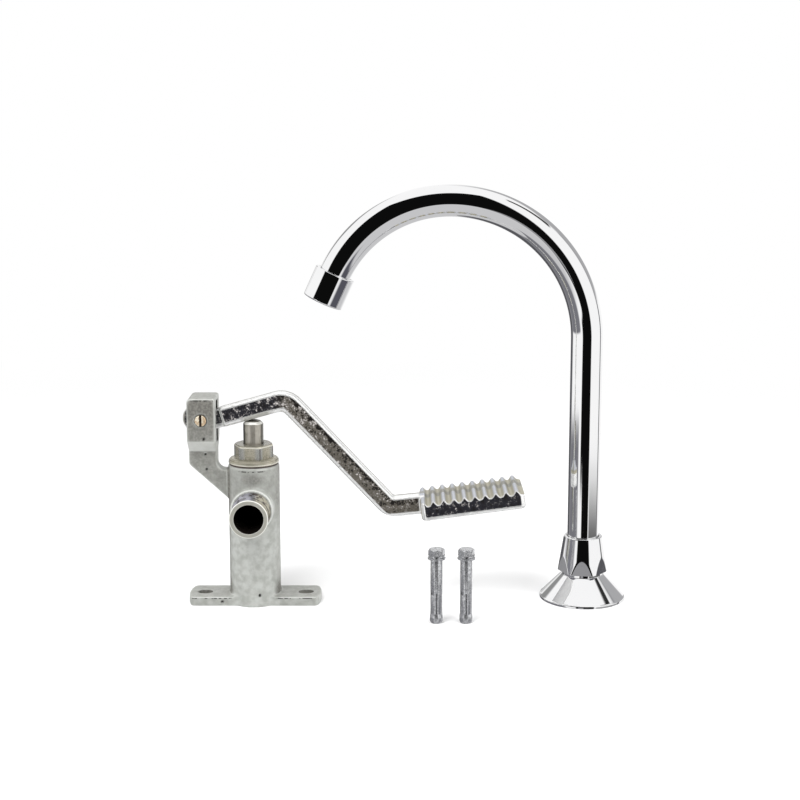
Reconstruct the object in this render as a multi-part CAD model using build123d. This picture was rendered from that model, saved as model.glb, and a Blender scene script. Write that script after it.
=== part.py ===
from build123d import *
import os
from math import atan2, cos, degrees, hypot, pi, radians, sin, sqrt, tan

os.makedirs("parts", exist_ok=True)

# All sizes are in millimetres. The origin is on the floor, on the axis of the valve barrel.
# +X runs from the valve to the spout, +Z is up, and the outlet of the valve points to -Y.

# Foot plate of the valve
foot_length = 93.0
foot_depth = 27.5
foot_thick = 6.3
foot_bow = 2.6
foot_corner = 3.0
slot_spacing = 71.0
slot_width = 8.6
slot_travel = 2.0

# Barrel of the valve
barrel_radius = 17.8
barrel_top = 99.0
barrel_chamfer = 0.8
cast_fillet = 3.0
cast_corner = 0.9
boss_radius = 15.0
boss_face = 21.0
boss_chamfer = 1.2
bore_start = 5.0
lower_chamber_radius = 11.6
upper_chamber_radius = 12.6
web_bottom = 43.0
web_top = 48.0

# Threaded nipples, three-quarter inch pipe thread by its outer diameter
nipple_radius = 13.22
nipple_bore = 10.05
nipple_reach = 43.0
nipple_root = 12.0
nipple_root_length = 7.5
nipple_chamfer = 0.8
nipple_bore_chamfer = 0.5
outlet_height = 70.0
inlet_height = 28.0

# Seat between the lower and the upper chamber
seat_bore = 6.0
seat_radius = 9.0
seat_flange_radius = 10.5
seat_flange_top = 50.0
seat_step = 1.0
seat_lip = 0.8
seat_lip_width = 1.1
seat_chamfer = 0.8

# Gland nut on top of the barrel
gland_gasket_thick = 1.0
gland_gasket_inner = 13.3
gland_gasket_outer = 17.0
gland_flange_radius = 17.9
gland_flange_height = 3.4
gland_shoulder = 2.8
gland_flange_chamfer = 0.4
gland_across_flats = 24.0
gland_turn = -7.5
gland_crown_drop = 1.6
gland_crown_inset = 1.3
gland_top = 113.4
gland_thread_radius = 13.2
gland_thread_end = 82.0
gland_bottom = 84.0

# Plunger, stem and valve disc
plunger_radius = 7.0
running_gap = 0.05
plunger_bottom = 82.0
dome_radius = 12.0
dome_edge = 5.6
plunger_chamfer = 1.5
plunger_ring_section = 0.75
plunger_groove_radius = 5.2
plunger_groove_half = 0.9
plunger_groove_first = 10.0
plunger_groove_pitch = 5.0
stem_radius = 3.0
stem_thread_radius = 2.5
stem_thread_end = 1.0
stem_socket = 8.0
ring_gap = 0.3
disc_rest_gap = 0.1
disc_top = web_bottom - seat_step - seat_lip - disc_rest_gap
disc_thick = 4.0
disc_radius = 8.6
carrier_radius = 10.0
carrier_floor = 2.0
carrier_rim_drop = 1.2
disc_nut_flats = 8.0
disc_nut_thick = 4.0

# Return spring and bottom plug
spring_mean_radius = 7.4
spring_wire_radius = 0.7
spring_end_gap = 0.02
spring_turns = 7
plug_radius = 12.5
plug_bottom = 1.0
plug_top = 9.5
plug_step = 0.5
plug_socket_flats = 8.0
plug_socket_depth = 4.0
plug_groove_low = 6.3
plug_groove_high = 8.3
plug_groove_depth = 1.7
plug_ring_section = 0.84

# Clevis that carries the pedal
clevis_left = -44.5
clevis_right = -25.0
clevis_top = 147.0
clevis_half_depth = 13.3
clevis_bottom = 116.9
arm_half_depth = 5.5
arm_shoulder = 109.0
arm_corner_height = 99.3
arm_root_height = 73.6
arm_bite = 1.6
arm_root_round = 1.0
hidden_round = 0.4
ledge_height = 95.4
ledge_fillet = 5.5
clevis_front_round = 1.6
clevis_back_round = 3.0
window_bottom = 115.0
window_top = 143.4
window_corner = 1.0
pivot_x = -34.8
pivot_z = 131.7
pivot_radius = 3.0
screw_head_radius = 4.05
screw_head_rise = 1.2
screw_head_round = 1.1
screw_recess = 1.6
screw_recess_gap = 0.5
screw_slot_width = 1.2
screw_slot_depth = 1.3
screw_end_gap = 0.6

# Pedal lever
pedal_travel_deg = 9.5
eye_radius = 10.6
eye_offset = 3.0
tongue_half = 4.0
tongue_gap = 0.3
tongue_length = 19.0
tongue_bite = 3.0
tongue_inset = 0.6
bar_depth = 11.5
bar_height = 13.6
bar_edge = 2.2
bar_start = (-20.8, 132.2)
bar_knee = (23.0, 144.5)
bar_heel = (94.8, 68.2)
bar_end = (119.8, 70.7)
knee_radius = 11.5
heel_radius = 8.5
tread_start = (117.2, 62.8)
tread_tilt = 7.6
tread_length = 72.2
tread_depth = 46.0
tread_slab = 10.4
ridge_count = 10
ridge_first = 2.1
ridge_pitch = 7.18
ridge_height = 2.8
ridge_tip = 0.7
ridge_foot = 2.75
tread_corner = 4.0
tread_bottom_round = 1.8
contact_gap = 0.12

# Spout tube
spout_x = 231.5
spout_y = 8.0
tube_radius = 11.0
tube_wall = 1.0
tube_foot = 35.6
arch_x = 136.1
arch_top = 280.9
inner_arch_radius = 87.0
inner_arch_angle = 65.5

# Base of the spout
base_radius = 30.0
base_rim = 1.6
base_rim_step = (0.8, 0.6)
base_foot_chamfer = 0.4
base_cone_top = 17.4
base_cone_top_radius = 14.8
base_neck_radius = 14.4
spigot_radius = 13.0
spigot_top = 33.0
inlet_thread_radius = 9.32
inlet_thread_depth = 14.0
water_way_radius = 8.0
socket_floor = 17.5
base_gasket_inner = 20.0
base_gasket_outer = 26.0
base_gasket_thick = 2.0
base_gasket_recess = 0.2

# Cone nut and swivel
nut_bottom = 19.4
nut_top = 45.0
nut_bottom_radius = 17.4
nut_top_radius = 13.4
nut_flats = 31.2
nut_turn = -8.0
nut_rim = 0.3
nut_top_rim = 0.5
collar_radius = 12.9
collar_bottom = 34.2
collar_top = 38.4
slip_washer_gap = 0.1
swivel_gap = 0.4
swivel_ring_section = 0.85
swivel_groove_radius = 9.05
swivel_groove_half = 1.0
swivel_groove_heights = (22.5, 28.0)
ferrule_foot_gap = 0.6
ferrule_chamfer = 0.5

# Aerator, measured along its own axis from the end of the tube
shell_radius = 14.2
shell_start = -1.3
shell_end = 20.4
nozzle_radius = 12.0
nozzle_length = 9.0
nozzle_bore = 8.8
nozzle_socket = 1.1
nozzle_spigot_length = 6.0
nozzle_spigot_gap = 0.4
washer_thick = 2.0
screen_thick = 0.4
screen_gap = 0.4
screen_hole = 0.75
screen_pitch = 2.6
screen_limit = 9.6
insert_radius = 11.9
insert_end = 18.6
insert_hole = 1.3
insert_pitch = 3.6
insert_limit = 9.0
shell_lip = 1.6
shell_mouth = 10.9
shell_top_chamfer = 0.6
shell_end_chamfer = 1.2
shell_end_inset = 0.9

# Sleeve anchors
anchor_x = (126.5, 146.5)
anchor_y = -48.0
anchor_bolt_radius = 3.0
anchor_bolt_end = 1.2
anchor_sleeve_radius = 4.05
anchor_sleeve_bore = 3.15
anchor_sleeve_bottom = 6.6
anchor_sleeve_top = 44.4
anchor_slit = 0.9
anchor_slit_top = 21.0
anchor_notch = (3.4, 3.0, 2.2)
anchor_notch_place = (-3.6, -2.4)
anchor_cone_radius = 4.4
anchor_cone_low = 4.4
anchor_cone_top = 8.6
anchor_foot_height = 1.4
anchor_foot_step = (0.45, 0.5)
anchor_foot_inset = 1.3
anchor_washer_gap = 0.1
anchor_washer_radius = 6.0
anchor_washer_thick = 1.2
anchor_spring_radius = 5.4
anchor_spring_thick = 1.6
anchor_spring_split = 0.7
anchor_spring_split_turn = 35
anchor_head_flats = 10.0
anchor_head_height = 4.2
anchor_head_crown = 0.9
anchor_head_turn = 12


def turned(*outline):
    """Solid of revolution about Z from a closed outline of (radius, height) points."""
    edge = Polyline(*[(r, 0, z) for r, z in outline], close=True)
    return revolve(make_face(edge), Axis.Z)


def ring(inner, outer, low, high):
    """Plain ring about Z."""
    return turned((inner, low), (outer, low), (outer, high), (inner, high))


def rod(radius, low, high):
    """Plain round rod about Z."""
    return Pos(0, 0, low) * Cylinder(radius, high - low, align=(Align.CENTER, Align.CENTER, Align.MIN))


def o_ring(centre_radius, section_radius, height):
    """Round rubber ring about Z."""
    return Pos(0, 0, height) * Torus(centre_radius, section_radius)


def hexagon(flats, low, high, turn=0.0):
    """Hexagonal prism about Z with a flat towards -Y before it is turned."""
    outline = Rot(0, 0, turn) * RegularPolygon(flats / 2, 6, major_radius=False, rotation=30)
    return Pos(0, 0, low) * extrude(outline, high - low)


def side_plate(outline, half_depth):
    """Plate between -half_depth and +half_depth in Y from an outline of (x, z) points."""
    face = make_face(Polyline(*[(x, 0, z) for x, z in outline], close=True))
    return extrude(face, half_depth, dir=(0, 1, 0), both=True)


def save(name, *solids):
    """Write one node, a single solid or a group of separate solids."""
    shape = solids[0] if len(solids) == 1 else Compound(children=list(solids))
    shape.label = name
    export_step(shape, "parts/" + name + ".step")


def to_front(shape, height):
    """Turn a piece built about Z so that its +Z points to -Y, with its axis at this height."""
    return Pos(0, 0, height) * Rot(90, 0, 0) * shape


def to_back(shape, height):
    """Turn a piece built about Z so that its +Z points to +Y, with its axis at this height."""
    return Pos(0, 0, height) * Rot(-90, 0, 0) * shape


# Valve casting

def foot_plate():
    """Foot plate with bowed ends and two slots for the floor anchors."""
    end, corner, half = foot_length / 2, foot_length / 2 - foot_bow, foot_depth / 2
    outline = [
        Line((-corner, -half), (corner, -half)),
        ThreePointArc((corner, -half), (end, 0), (corner, half)),
        Line((corner, half), (-corner, half)),
        ThreePointArc((-corner, half), (-end, 0), (-corner, -half)),
    ]
    plate = extrude(make_face([side.edge() for side in outline]), foot_thick)
    plate = fillet(plate.edges().filter_by(Axis.Z), foot_corner)
    for side in (-1, 1):
        slot = SlotCenterToCenter(slot_travel, slot_width)
        plate -= Pos(side * slot_spacing / 2, 0, 0) * extrude(slot, foot_thick)
    return plate


def bracket():
    """Thin arm and deep clevis head, solid, before the pedal window is cut."""
    inside_barrel = -10.0
    outline = FilletPolyline(
        (inside_barrel, 0, arm_root_height),
        (inside_barrel, 0, ledge_height),
        (clevis_right, 0, ledge_height),
        (clevis_right, 0, clevis_top),
        (clevis_left, 0, clevis_top),
        (clevis_left, 0, arm_corner_height),
        (-barrel_radius + arm_bite, 0, arm_root_height),
        radius=[
            hidden_round, hidden_round, ledge_fillet, clevis_front_round,
            clevis_back_round, clevis_back_round, arm_root_round,
        ],
        close=True,
    )
    side = extrude(make_face(outline), clevis_half_depth, dir=(0, 1, 0), both=True)
    front = make_face(Polyline(
        (0, -arm_half_depth, arm_root_height),
        (0, -arm_half_depth, arm_shoulder),
        (0, -clevis_half_depth, clevis_bottom),
        (0, -clevis_half_depth, clevis_top),
        (0, clevis_half_depth, clevis_top),
        (0, clevis_half_depth, clevis_bottom),
        (0, arm_half_depth, arm_shoulder),
        (0, arm_half_depth, arm_root_height),
        close=True,
    ))
    return side & extrude(front, foot_length, dir=(1, 0, 0), both=True)


def soft_corners(bracket_solid):
    """Round the upright corners of the bracket."""
    uprights = bracket_solid.edges().filter_by(Axis.Z)
    return fillet([e for e in uprights if e.center().X < -barrel_radius], cast_corner)


def valve_body():
    """One casting: foot plate, barrel, bosses and clevis, with its bores."""
    barrel = rod(barrel_radius, 0, barrel_top)
    casting = foot_plate() + barrel
    casting = fillet(joint_edges(casting), cast_fillet)
    casting = chamfer(casting.edges().filter_by_position(Axis.Z, barrel_top, barrel_top), barrel_chamfer)
    casting += soft_corners(bracket())
    boss = chamfer(rod(boss_radius, 0, boss_face).edges().group_by(Axis.Z)[-1], boss_chamfer)
    casting += to_front(boss, outlet_height) + to_back(boss, inlet_height)

    casting -= rod(plug_radius, 0, plug_top + plug_step)
    casting -= rod(lower_chamber_radius, 0, web_bottom)
    casting -= rod(seat_radius, web_bottom, web_top)
    casting -= rod(upper_chamber_radius, web_top, gland_bottom)
    casting -= rod(gland_thread_radius, gland_thread_end, barrel_top)
    for turn, height in ((to_front, outlet_height), (to_back, inlet_height)):
        casting -= turn(rod(nipple_root, boss_face - nipple_root_length, boss_face), height)
        casting -= turn(rod(nipple_bore, bore_start, boss_face), height)

    window = Box(foot_length, 2 * (tongue_half + tongue_gap), window_top - window_bottom)
    window = fillet(window.edges().filter_by(Axis.X), window_corner)
    window_centre = (-barrel_radius - foot_length / 2, 0, (window_top + window_bottom) / 2)
    casting -= Pos(*window_centre) * window
    casting -= pivot_axis(rod(pivot_radius, -clevis_half_depth, clevis_half_depth))
    recess_low = clevis_half_depth - screw_recess
    return casting - pivot_axis(rod(screw_head_radius + screw_recess_gap, recess_low, clevis_half_depth))


def joint_edges(casting):
    """Edges where the barrel meets the top of the foot plate."""
    level = casting.edges().filter_by_position(Axis.Z, foot_thick - 0.01, foot_thick + 0.01)
    return [e for e in level if abs(hypot(e.center().X, e.center().Y) - barrel_radius) < cast_fillet / 2]


def pivot_axis(shape):
    """Put a piece built about Z on the pedal's pivot, its +Z towards the front."""
    return Pos(pivot_x, 0, pivot_z) * Rot(90, 0, 0) * shape


def pivot_screw():
    """Brass slotted screw: domed head in front, shank through both cheeks."""
    head_low = clevis_half_depth - screw_recess
    head_high = clevis_half_depth + screw_head_rise
    head = rod(screw_head_radius, head_low, head_high)
    head = fillet(head.edges().group_by(Axis.Z)[-1], screw_head_round)
    slot = Pos(0, 0, head_high) * Box(3 * screw_head_radius, screw_slot_width, 2 * screw_slot_depth)
    shank = rod(pivot_radius, -clevis_half_depth + screw_end_gap, head_low)
    return pivot_axis(Rot(0, 0, 90) * (head - slot) + shank)


def nipple():
    """Threaded pipe nipple about Z, its root screwed into the boss."""
    root = boss_face - nipple_root_length
    return turned(
        (nipple_bore, root),
        (nipple_root, root),
        (nipple_root, boss_face),
        (nipple_radius, boss_face),
        (nipple_radius, nipple_reach - nipple_chamfer),
        (nipple_radius - nipple_chamfer, nipple_reach),
        (nipple_bore + nipple_bore_chamfer, nipple_reach),
        (nipple_bore, nipple_reach - nipple_bore_chamfer),
    )


# Works of the valve

def valve_seat():
    """Pressed seat ring, its sealing lip pointing down to the disc."""
    low = web_bottom - seat_step
    return turned(
        (seat_bore, low - seat_lip),
        (seat_bore + seat_lip_width, low - seat_lip),
        (seat_bore + seat_lip_width + seat_lip, low),
        (seat_radius, low),
        (seat_radius, web_top),
        (seat_flange_radius, web_top),
        (seat_flange_radius, seat_flange_top),
        (seat_bore + seat_chamfer, seat_flange_top),
        (seat_bore, seat_flange_top - seat_chamfer),
    )


def gland_nut():
    """Gland nut: thread below, round-shouldered flange, hexagon above, plunger bore."""
    flange_low = barrel_top + gland_gasket_thick
    flange_high = flange_low + gland_flange_height
    flange = rod(gland_flange_radius, flange_low, flange_high)
    flange = fillet(flange.edges().group_by(Axis.Z)[-1], gland_shoulder)
    flange = chamfer(flange.edges().group_by(Axis.Z)[0], gland_flange_chamfer)
    corner = gland_across_flats / sqrt(3)
    crown = turned(
        (0, flange_low),
        (corner + 1, flange_low),
        (corner + 1, gland_top - gland_crown_drop),
        (corner - gland_crown_inset, gland_top),
        (0, gland_top),
    )
    flats = hexagon(gland_across_flats, flange_low, gland_top, gland_turn) & crown
    nut = flange + flats + rod(gland_thread_radius, gland_bottom, flange_low)
    return nut - rod(plunger_radius + running_gap, gland_bottom, gland_top)


def gland_gasket():
    """Fibre ring between the barrel and the gland flange."""
    high = barrel_top + gland_gasket_thick
    return ring(gland_gasket_inner, gland_gasket_outer, barrel_top, high)


def lever_slope():
    """Slope of the lever's first run, in radians."""
    return atan2(bar_knee[1] - bar_start[1], bar_knee[0] - bar_start[0])


def dome_height(turn_deg):
    """Top of the plunger's dome where it meets the lever, with the pedal pressed by this angle."""
    rest_slope = lever_slope()
    from_pivot = (bar_start[0] - pivot_x, bar_start[1] - pivot_z)
    below_pivot = from_pivot[0] * sin(rest_slope) - from_pivot[1] * cos(rest_slope) + bar_height / 2
    slope = rest_slope - radians(turn_deg)
    underside = pivot_z - pivot_x * tan(slope) - below_pivot / cos(slope)
    return underside - dome_radius * (1 / cos(slope) - 1) - contact_gap


def groove_heights():
    """Heights of the two ring grooves on the plunger."""
    first = plunger_bottom + plunger_groove_first
    return first, first + plunger_groove_pitch


def plunger():
    """Push rod with a domed head and two grooves for rubber rings."""
    top = dome_height(0)
    edge = top - dome_radius + sqrt(dome_radius ** 2 - dome_edge ** 2)
    mid = dome_edge / 2
    mid_height = top - dome_radius + sqrt(dome_radius ** 2 - mid ** 2)
    sides = Polyline(
        (0, 0, top),
        (0, 0, plunger_bottom),
        (plunger_radius, 0, plunger_bottom),
        (plunger_radius, 0, edge - plunger_chamfer),
        (dome_edge, 0, edge),
    )
    dome = ThreePointArc((dome_edge, 0, edge), (mid, 0, mid_height), (0, 0, top))
    body = revolve(make_face(sides.edges() + dome.edges()), Axis.Z)
    for height in groove_heights():
        low, high = height - plunger_groove_half, height + plunger_groove_half
        body -= ring(plunger_groove_radius, 2 * plunger_radius, low, high)
    return body - rod(stem_radius, plunger_bottom, plunger_bottom + stem_socket)


def plunger_rings():
    """Two rubber rings, just clear of the gland's bore."""
    centre = plunger_radius + running_gap - ring_gap - plunger_ring_section
    return [o_ring(centre, plunger_ring_section, height) for height in groove_heights()]


def valve_stem():
    """Thin stem from the plunger down through the seat, threaded at its foot."""
    foot = disc_top - disc_thick - carrier_floor - disc_nut_thick - stem_thread_end
    shoulder = rod(stem_radius, disc_top, plunger_bottom + stem_socket)
    return shoulder + rod(stem_thread_radius, foot, disc_top)


def disc_carrier():
    """Brass cup that holds the rubber disc."""
    low = disc_top - disc_thick - carrier_floor
    floor = disc_top - disc_thick
    return turned(
        (stem_thread_radius, low),
        (carrier_radius, low),
        (carrier_radius, disc_top - carrier_rim_drop),
        (disc_radius, disc_top - carrier_rim_drop),
        (disc_radius, floor),
        (stem_thread_radius, floor),
    )


def valve_disc():
    """Rubber disc that closes on the seat from below."""
    return ring(stem_thread_radius, disc_radius, disc_top - disc_thick, disc_top)


def disc_nut():
    """Hexagon nut under the carrier."""
    high = disc_top - disc_thick - carrier_floor
    return hexagon(disc_nut_flats, high - disc_nut_thick, high) - rod(stem_thread_radius, 0, high)


def return_spring():
    """Open helical spring between the plug and the carrier."""
    end = spring_wire_radius + spring_end_gap
    low = plug_top + end
    high = disc_top - disc_thick - carrier_floor - end
    coil = Helix((high - low) / spring_turns, high - low, spring_mean_radius, center=(0, 0, low))
    wire = Plane(coil @ 0, z_dir=coil % 0) * Circle(spring_wire_radius)
    return sweep(wire, path=coil, is_frenet=True)


def bottom_plug():
    """Threaded plug that closes the barrel from below, with a hexagon socket."""
    plug = rod(plug_radius, plug_bottom, plug_top)
    plug -= ring(plug_radius - plug_groove_depth, 2 * plug_radius, plug_groove_low, plug_groove_high)
    return plug - hexagon(plug_socket_flats, plug_bottom, plug_bottom + plug_socket_depth)


def plug_ring():
    """Rubber ring of the bottom plug."""
    centre = plug_radius - plug_groove_depth / 2
    return o_ring(centre, plug_ring_section, (plug_groove_low + plug_groove_high) / 2)


# Pedal

def lever_bar():
    """Bent bar of constant rounded section, from the clevis to the tread."""
    path = FilletPolyline(
        (bar_start[0], 0, bar_start[1]),
        (bar_knee[0], 0, bar_knee[1]),
        (bar_heel[0], 0, bar_heel[1]),
        (bar_end[0], 0, bar_end[1]),
        radius=[knee_radius, heel_radius],
    )
    start = Plane(path @ 0, x_dir=(0, 1, 0), z_dir=path % 0)
    return sweep(start * RectangleRounded(bar_depth, bar_height, bar_edge), path=path)


def lever_eye():
    """Round eye and tongue inside the clevis, thinner than the bar."""
    eye = Pos(pivot_x - eye_offset, 0, pivot_z) * Rot(90, 0, 0) * Cylinder(eye_radius, 2 * tongue_half)
    slope = lever_slope()
    back = tongue_length / 2 - tongue_bite
    centre = (bar_start[0] - back * cos(slope), 0, bar_start[1] - back * sin(slope))
    tongue = Box(tongue_length, 2 * tongue_half, bar_height - tongue_inset)
    return eye + Pos(*centre) * Rot(0, -degrees(slope), 0) * tongue


def tread_pad():
    """Foot pad with ridges across it, tilted up away from the valve."""
    crest = tread_slab + ridge_height
    points = [(0, 0), (tread_length, 0), (tread_length, tread_slab)]
    for index in reversed(range(ridge_count)):
        middle = ridge_first + index * ridge_pitch
        points += [(middle + ridge_foot, tread_slab), (middle + ridge_tip, crest)]
        points += [(middle - ridge_tip, crest), (middle - ridge_foot, tread_slab)]
    pad = side_plate(points, tread_depth / 2)
    plan = RectangleRounded(tread_length, tread_depth, tread_corner)
    pad &= extrude(Pos(tread_length / 2, 0) * plan, 2 * crest)
    pad = fillet(pad.edges().group_by(Axis.Z)[0], tread_bottom_round)
    return Pos(tread_start[0], 0, tread_start[1]) * Rot(0, -tread_tilt, 0) * pad


def pedal_lever():
    """Lever and tread in one casting."""
    lever = lever_bar() + lever_eye() + tread_pad()
    return lever - pivot_axis(rod(pivot_radius + running_gap, -tread_depth, tread_depth))


# Spout

def at_spout(shape):
    """Move a piece built about Z to the spout's axis."""
    return Pos(spout_x, spout_y, 0) * shape


def tube_path():
    """Riser, large arc over the top and a slightly tighter arc down to the nozzle."""
    outer_arch_radius = spout_x - arch_x
    outer_centre = arch_top - outer_arch_radius
    inner_centre = arch_top - inner_arch_radius
    half = radians(45)
    foot = (spout_x, spout_y, tube_foot)
    spring_line = (spout_x, spout_y, outer_centre)
    crown = (arch_x, spout_y, arch_top)
    outer_mid = (
        arch_x + outer_arch_radius * cos(half), spout_y, outer_centre + outer_arch_radius * sin(half))
    mid_angle = radians(inner_arch_angle / 2)
    inner_mid = (
        arch_x - inner_arch_radius * sin(mid_angle), spout_y,
        inner_centre + inner_arch_radius * cos(mid_angle))
    riser = Line(foot, spring_line)
    return riser + ThreePointArc(spring_line, outer_mid, crown) + ThreePointArc(crown, inner_mid, tube_end())


def tube_end():
    """Centre of the tube's open end."""
    angle = radians(inner_arch_angle)
    inner_centre = arch_top - inner_arch_radius
    return (arch_x - inner_arch_radius * sin(angle), spout_y, inner_centre + inner_arch_radius * cos(angle))


def spout_tube():
    """Bent tube of one wall thickness."""
    path = tube_path()
    start = Plane(path @ 0, z_dir=path % 0)
    wall = sweep(start * Circle(tube_radius), path=path)
    return wall - sweep(start * Circle(tube_radius - tube_wall), path=path)


def base_flange():
    """Turned base: cone outside, pipe thread from below, threaded spigot on top."""
    base = turned(
        (inlet_thread_radius, 0),
        (base_gasket_inner, 0),
        (base_gasket_inner, base_gasket_thick),
        (base_gasket_outer, base_gasket_thick),
        (base_gasket_outer, 0),
        (base_radius - base_foot_chamfer, 0),
        (base_radius, base_foot_chamfer),
        (base_radius, base_rim),
        (base_radius - base_rim_step[0], base_rim + base_rim_step[1]),
        (base_cone_top_radius, base_cone_top),
        (base_neck_radius, base_cone_top),
        (base_neck_radius, nut_bottom),
        (spigot_radius, nut_bottom),
        (spigot_radius, spigot_top),
        (tube_radius + running_gap, spigot_top),
        (tube_radius + running_gap, socket_floor),
        (water_way_radius, socket_floor),
        (water_way_radius, inlet_thread_depth),
        (inlet_thread_radius, inlet_thread_depth),
    )
    return at_spout(base)


def base_gasket():
    """Rubber ring let into the underside of the base, just short of the floor."""
    return at_spout(ring(base_gasket_inner, base_gasket_outer, base_gasket_recess, base_gasket_thick))


def cone_nut():
    """Tapered nut with six spanner flats at its wide end."""
    shell = turned(
        (spigot_radius, nut_bottom),
        (nut_bottom_radius - nut_rim, nut_bottom),
        (nut_bottom_radius, nut_bottom + nut_rim),
        (nut_top_radius, nut_top - nut_top_rim),
        (nut_top_radius - nut_top_rim, nut_top),
        (tube_radius + swivel_gap, nut_top),
        (tube_radius + swivel_gap, collar_top + swivel_gap),
        (collar_radius + swivel_gap, collar_top + swivel_gap),
        (collar_radius + swivel_gap, spigot_top),
        (spigot_radius, spigot_top),
    )
    return at_spout(shell & hexagon(nut_flats, nut_bottom, nut_top, nut_turn))


def slip_washer():
    """Plastic washer between the spigot and the collar of the ferrule."""
    high = collar_bottom - slip_washer_gap
    return at_spout(ring(tube_radius + swivel_gap, spigot_radius, spigot_top, high))


def tube_ferrule():
    """Brass ferrule brazed to the tube: collar above, grooved stem in the base."""
    low = socket_floor + ferrule_foot_gap
    stem = turned(
        (water_way_radius, low),
        (tube_radius - ferrule_chamfer, low),
        (tube_radius, low + ferrule_chamfer),
        (tube_radius, collar_bottom),
        (collar_radius, collar_bottom),
        (collar_radius, collar_top),
        (tube_radius, collar_top),
        (tube_radius, tube_foot),
        (water_way_radius, tube_foot),
    )
    for height in swivel_groove_heights:
        low, high = height - swivel_groove_half, height + swivel_groove_half
        stem -= ring(swivel_groove_radius, 2 * tube_radius, low, high)
    return at_spout(stem)


def swivel_rings():
    """Two rubber rings, just clear of the base's bore."""
    centre = tube_radius + running_gap - ring_gap - swivel_ring_section
    return [at_spout(o_ring(centre, swivel_ring_section, height)) for height in swivel_groove_heights]


def at_nozzle(shape):
    """Put a piece built about Z at the tube's end, its +Z along the flow."""
    angle = radians(inner_arch_angle)
    flow = (-cos(angle), 0, -sin(angle))
    return Plane(tube_end(), x_dir=(0, 1, 0), z_dir=flow).location * shape


def nozzle_ferrule():
    """Threaded end piece brazed to the tube's end: a spigot inside the bend, a short socket outside."""
    spigot = tube_radius - tube_wall - nozzle_spigot_gap
    socket = tube_radius + running_gap
    return at_nozzle(turned(
        (nozzle_bore, -nozzle_spigot_length),
        (spigot, -nozzle_spigot_length),
        (spigot, 0),
        (socket, 0),
        (socket, -nozzle_socket),
        (nozzle_radius, -nozzle_socket),
        (nozzle_radius, nozzle_length),
        (nozzle_bore, nozzle_length),
    ))


def aerator_shell():
    """Chrome cap that holds the aerator."""
    return at_nozzle(turned(
        (nozzle_radius, shell_start),
        (shell_radius - shell_top_chamfer, shell_start),
        (shell_radius, shell_start + shell_top_chamfer),
        (shell_radius, shell_end - shell_end_chamfer),
        (shell_radius - shell_end_inset, shell_end),
        (shell_mouth, shell_end),
        (shell_mouth, shell_end - shell_lip),
        (nozzle_radius, shell_end - shell_lip),
    ))


def aerator_washer():
    """Rubber washer under the nozzle."""
    return at_nozzle(ring(nozzle_bore, insert_radius, nozzle_length, nozzle_length + washer_thick))


def hole_grid(radius, pitch, limit, depth):
    """Round holes on a triangular grid, out to the limit."""
    holes = []
    rows = int(limit / pitch) + 1
    for row in range(-rows, rows + 1):
        for column in range(-rows, rows + 1):
            x = (column + 0.5 * (row % 2)) * pitch
            y = row * pitch * sin(pi / 3)
            if hypot(x, y) < limit:
                holes.append(Pos(x, y, 0) * Cylinder(radius, depth))
    return holes


def aerator_screens():
    """Two perforated sheets between the washer and the insert."""
    start = nozzle_length + washer_thick
    screens = []
    for index in range(2):
        low = start + index * (screen_thick + screen_gap)
        sheet = rod(insert_radius, low, low + screen_thick)
        holes = hole_grid(screen_hole, screen_pitch, screen_limit, shell_end)
        sheet -= [Pos(0, 0, low) * hole for hole in holes]
        screens.append(at_nozzle(sheet))
    return screens


def aerator_insert():
    """Plastic insert with straight channels for the jet."""
    low = nozzle_length + washer_thick + 2 * screen_thick + screen_gap
    block = rod(insert_radius, low, insert_end)
    holes = hole_grid(insert_hole, insert_pitch, insert_limit, 2 * shell_end)
    return at_nozzle(block - [Pos(0, 0, low) * hole for hole in holes])


# Loose floor anchors

def at_anchors(shape):
    """The same piece at both anchors."""
    return [Pos(x, anchor_y, 0) * shape for x in anchor_x]


def anchor_head_bottom():
    """Height of the underside of the bolt head."""
    return anchor_sleeve_top + anchor_washer_thick + anchor_spring_thick


def anchor_bolt():
    """Hexagon bolt with a chamfered head."""
    low = anchor_head_bottom()
    high = low + anchor_head_height
    corner = anchor_head_flats / sqrt(3)
    shoulder = high - anchor_head_crown
    crown = turned(
        (0, low), (corner + 1, low), (corner + 1, shoulder), (corner - anchor_head_crown, high), (0, high))
    head = hexagon(anchor_head_flats, low, high, anchor_head_turn) & crown
    return head + rod(anchor_bolt_radius, anchor_bolt_end, low)


def anchor_spring_washer():
    """Split spring washer."""
    low = anchor_sleeve_top + anchor_washer_thick
    high = anchor_head_bottom()
    washer = ring(anchor_bolt_radius + anchor_washer_gap, anchor_spring_radius, low, high)
    cut = Box(anchor_spring_split, anchor_spring_radius, 4 * anchor_spring_thick)
    cut = Rot(0, anchor_spring_split_turn, 0) * cut
    return washer - Pos(0, -anchor_sleeve_radius, (low + high) / 2) * cut


def anchor_flat_washer():
    """Flat washer on top of the sleeve."""
    low = anchor_sleeve_top
    return ring(anchor_bolt_radius + anchor_washer_gap, anchor_washer_radius, low, low + anchor_washer_thick)


def anchor_sleeve():
    """Steel sleeve with two long slits down to the cone and a notch where one ends."""
    sleeve = ring(anchor_sleeve_bore, anchor_sleeve_radius, anchor_sleeve_bottom, anchor_sleeve_top)
    slit = Box(anchor_slit, 3 * anchor_sleeve_radius, anchor_slit_top)
    slit = Pos(0, 0, anchor_slit_top / 2) * slit
    notch = Pos(*anchor_notch_place, anchor_slit_top) * Box(*anchor_notch)
    return sleeve - slit - notch


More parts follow.
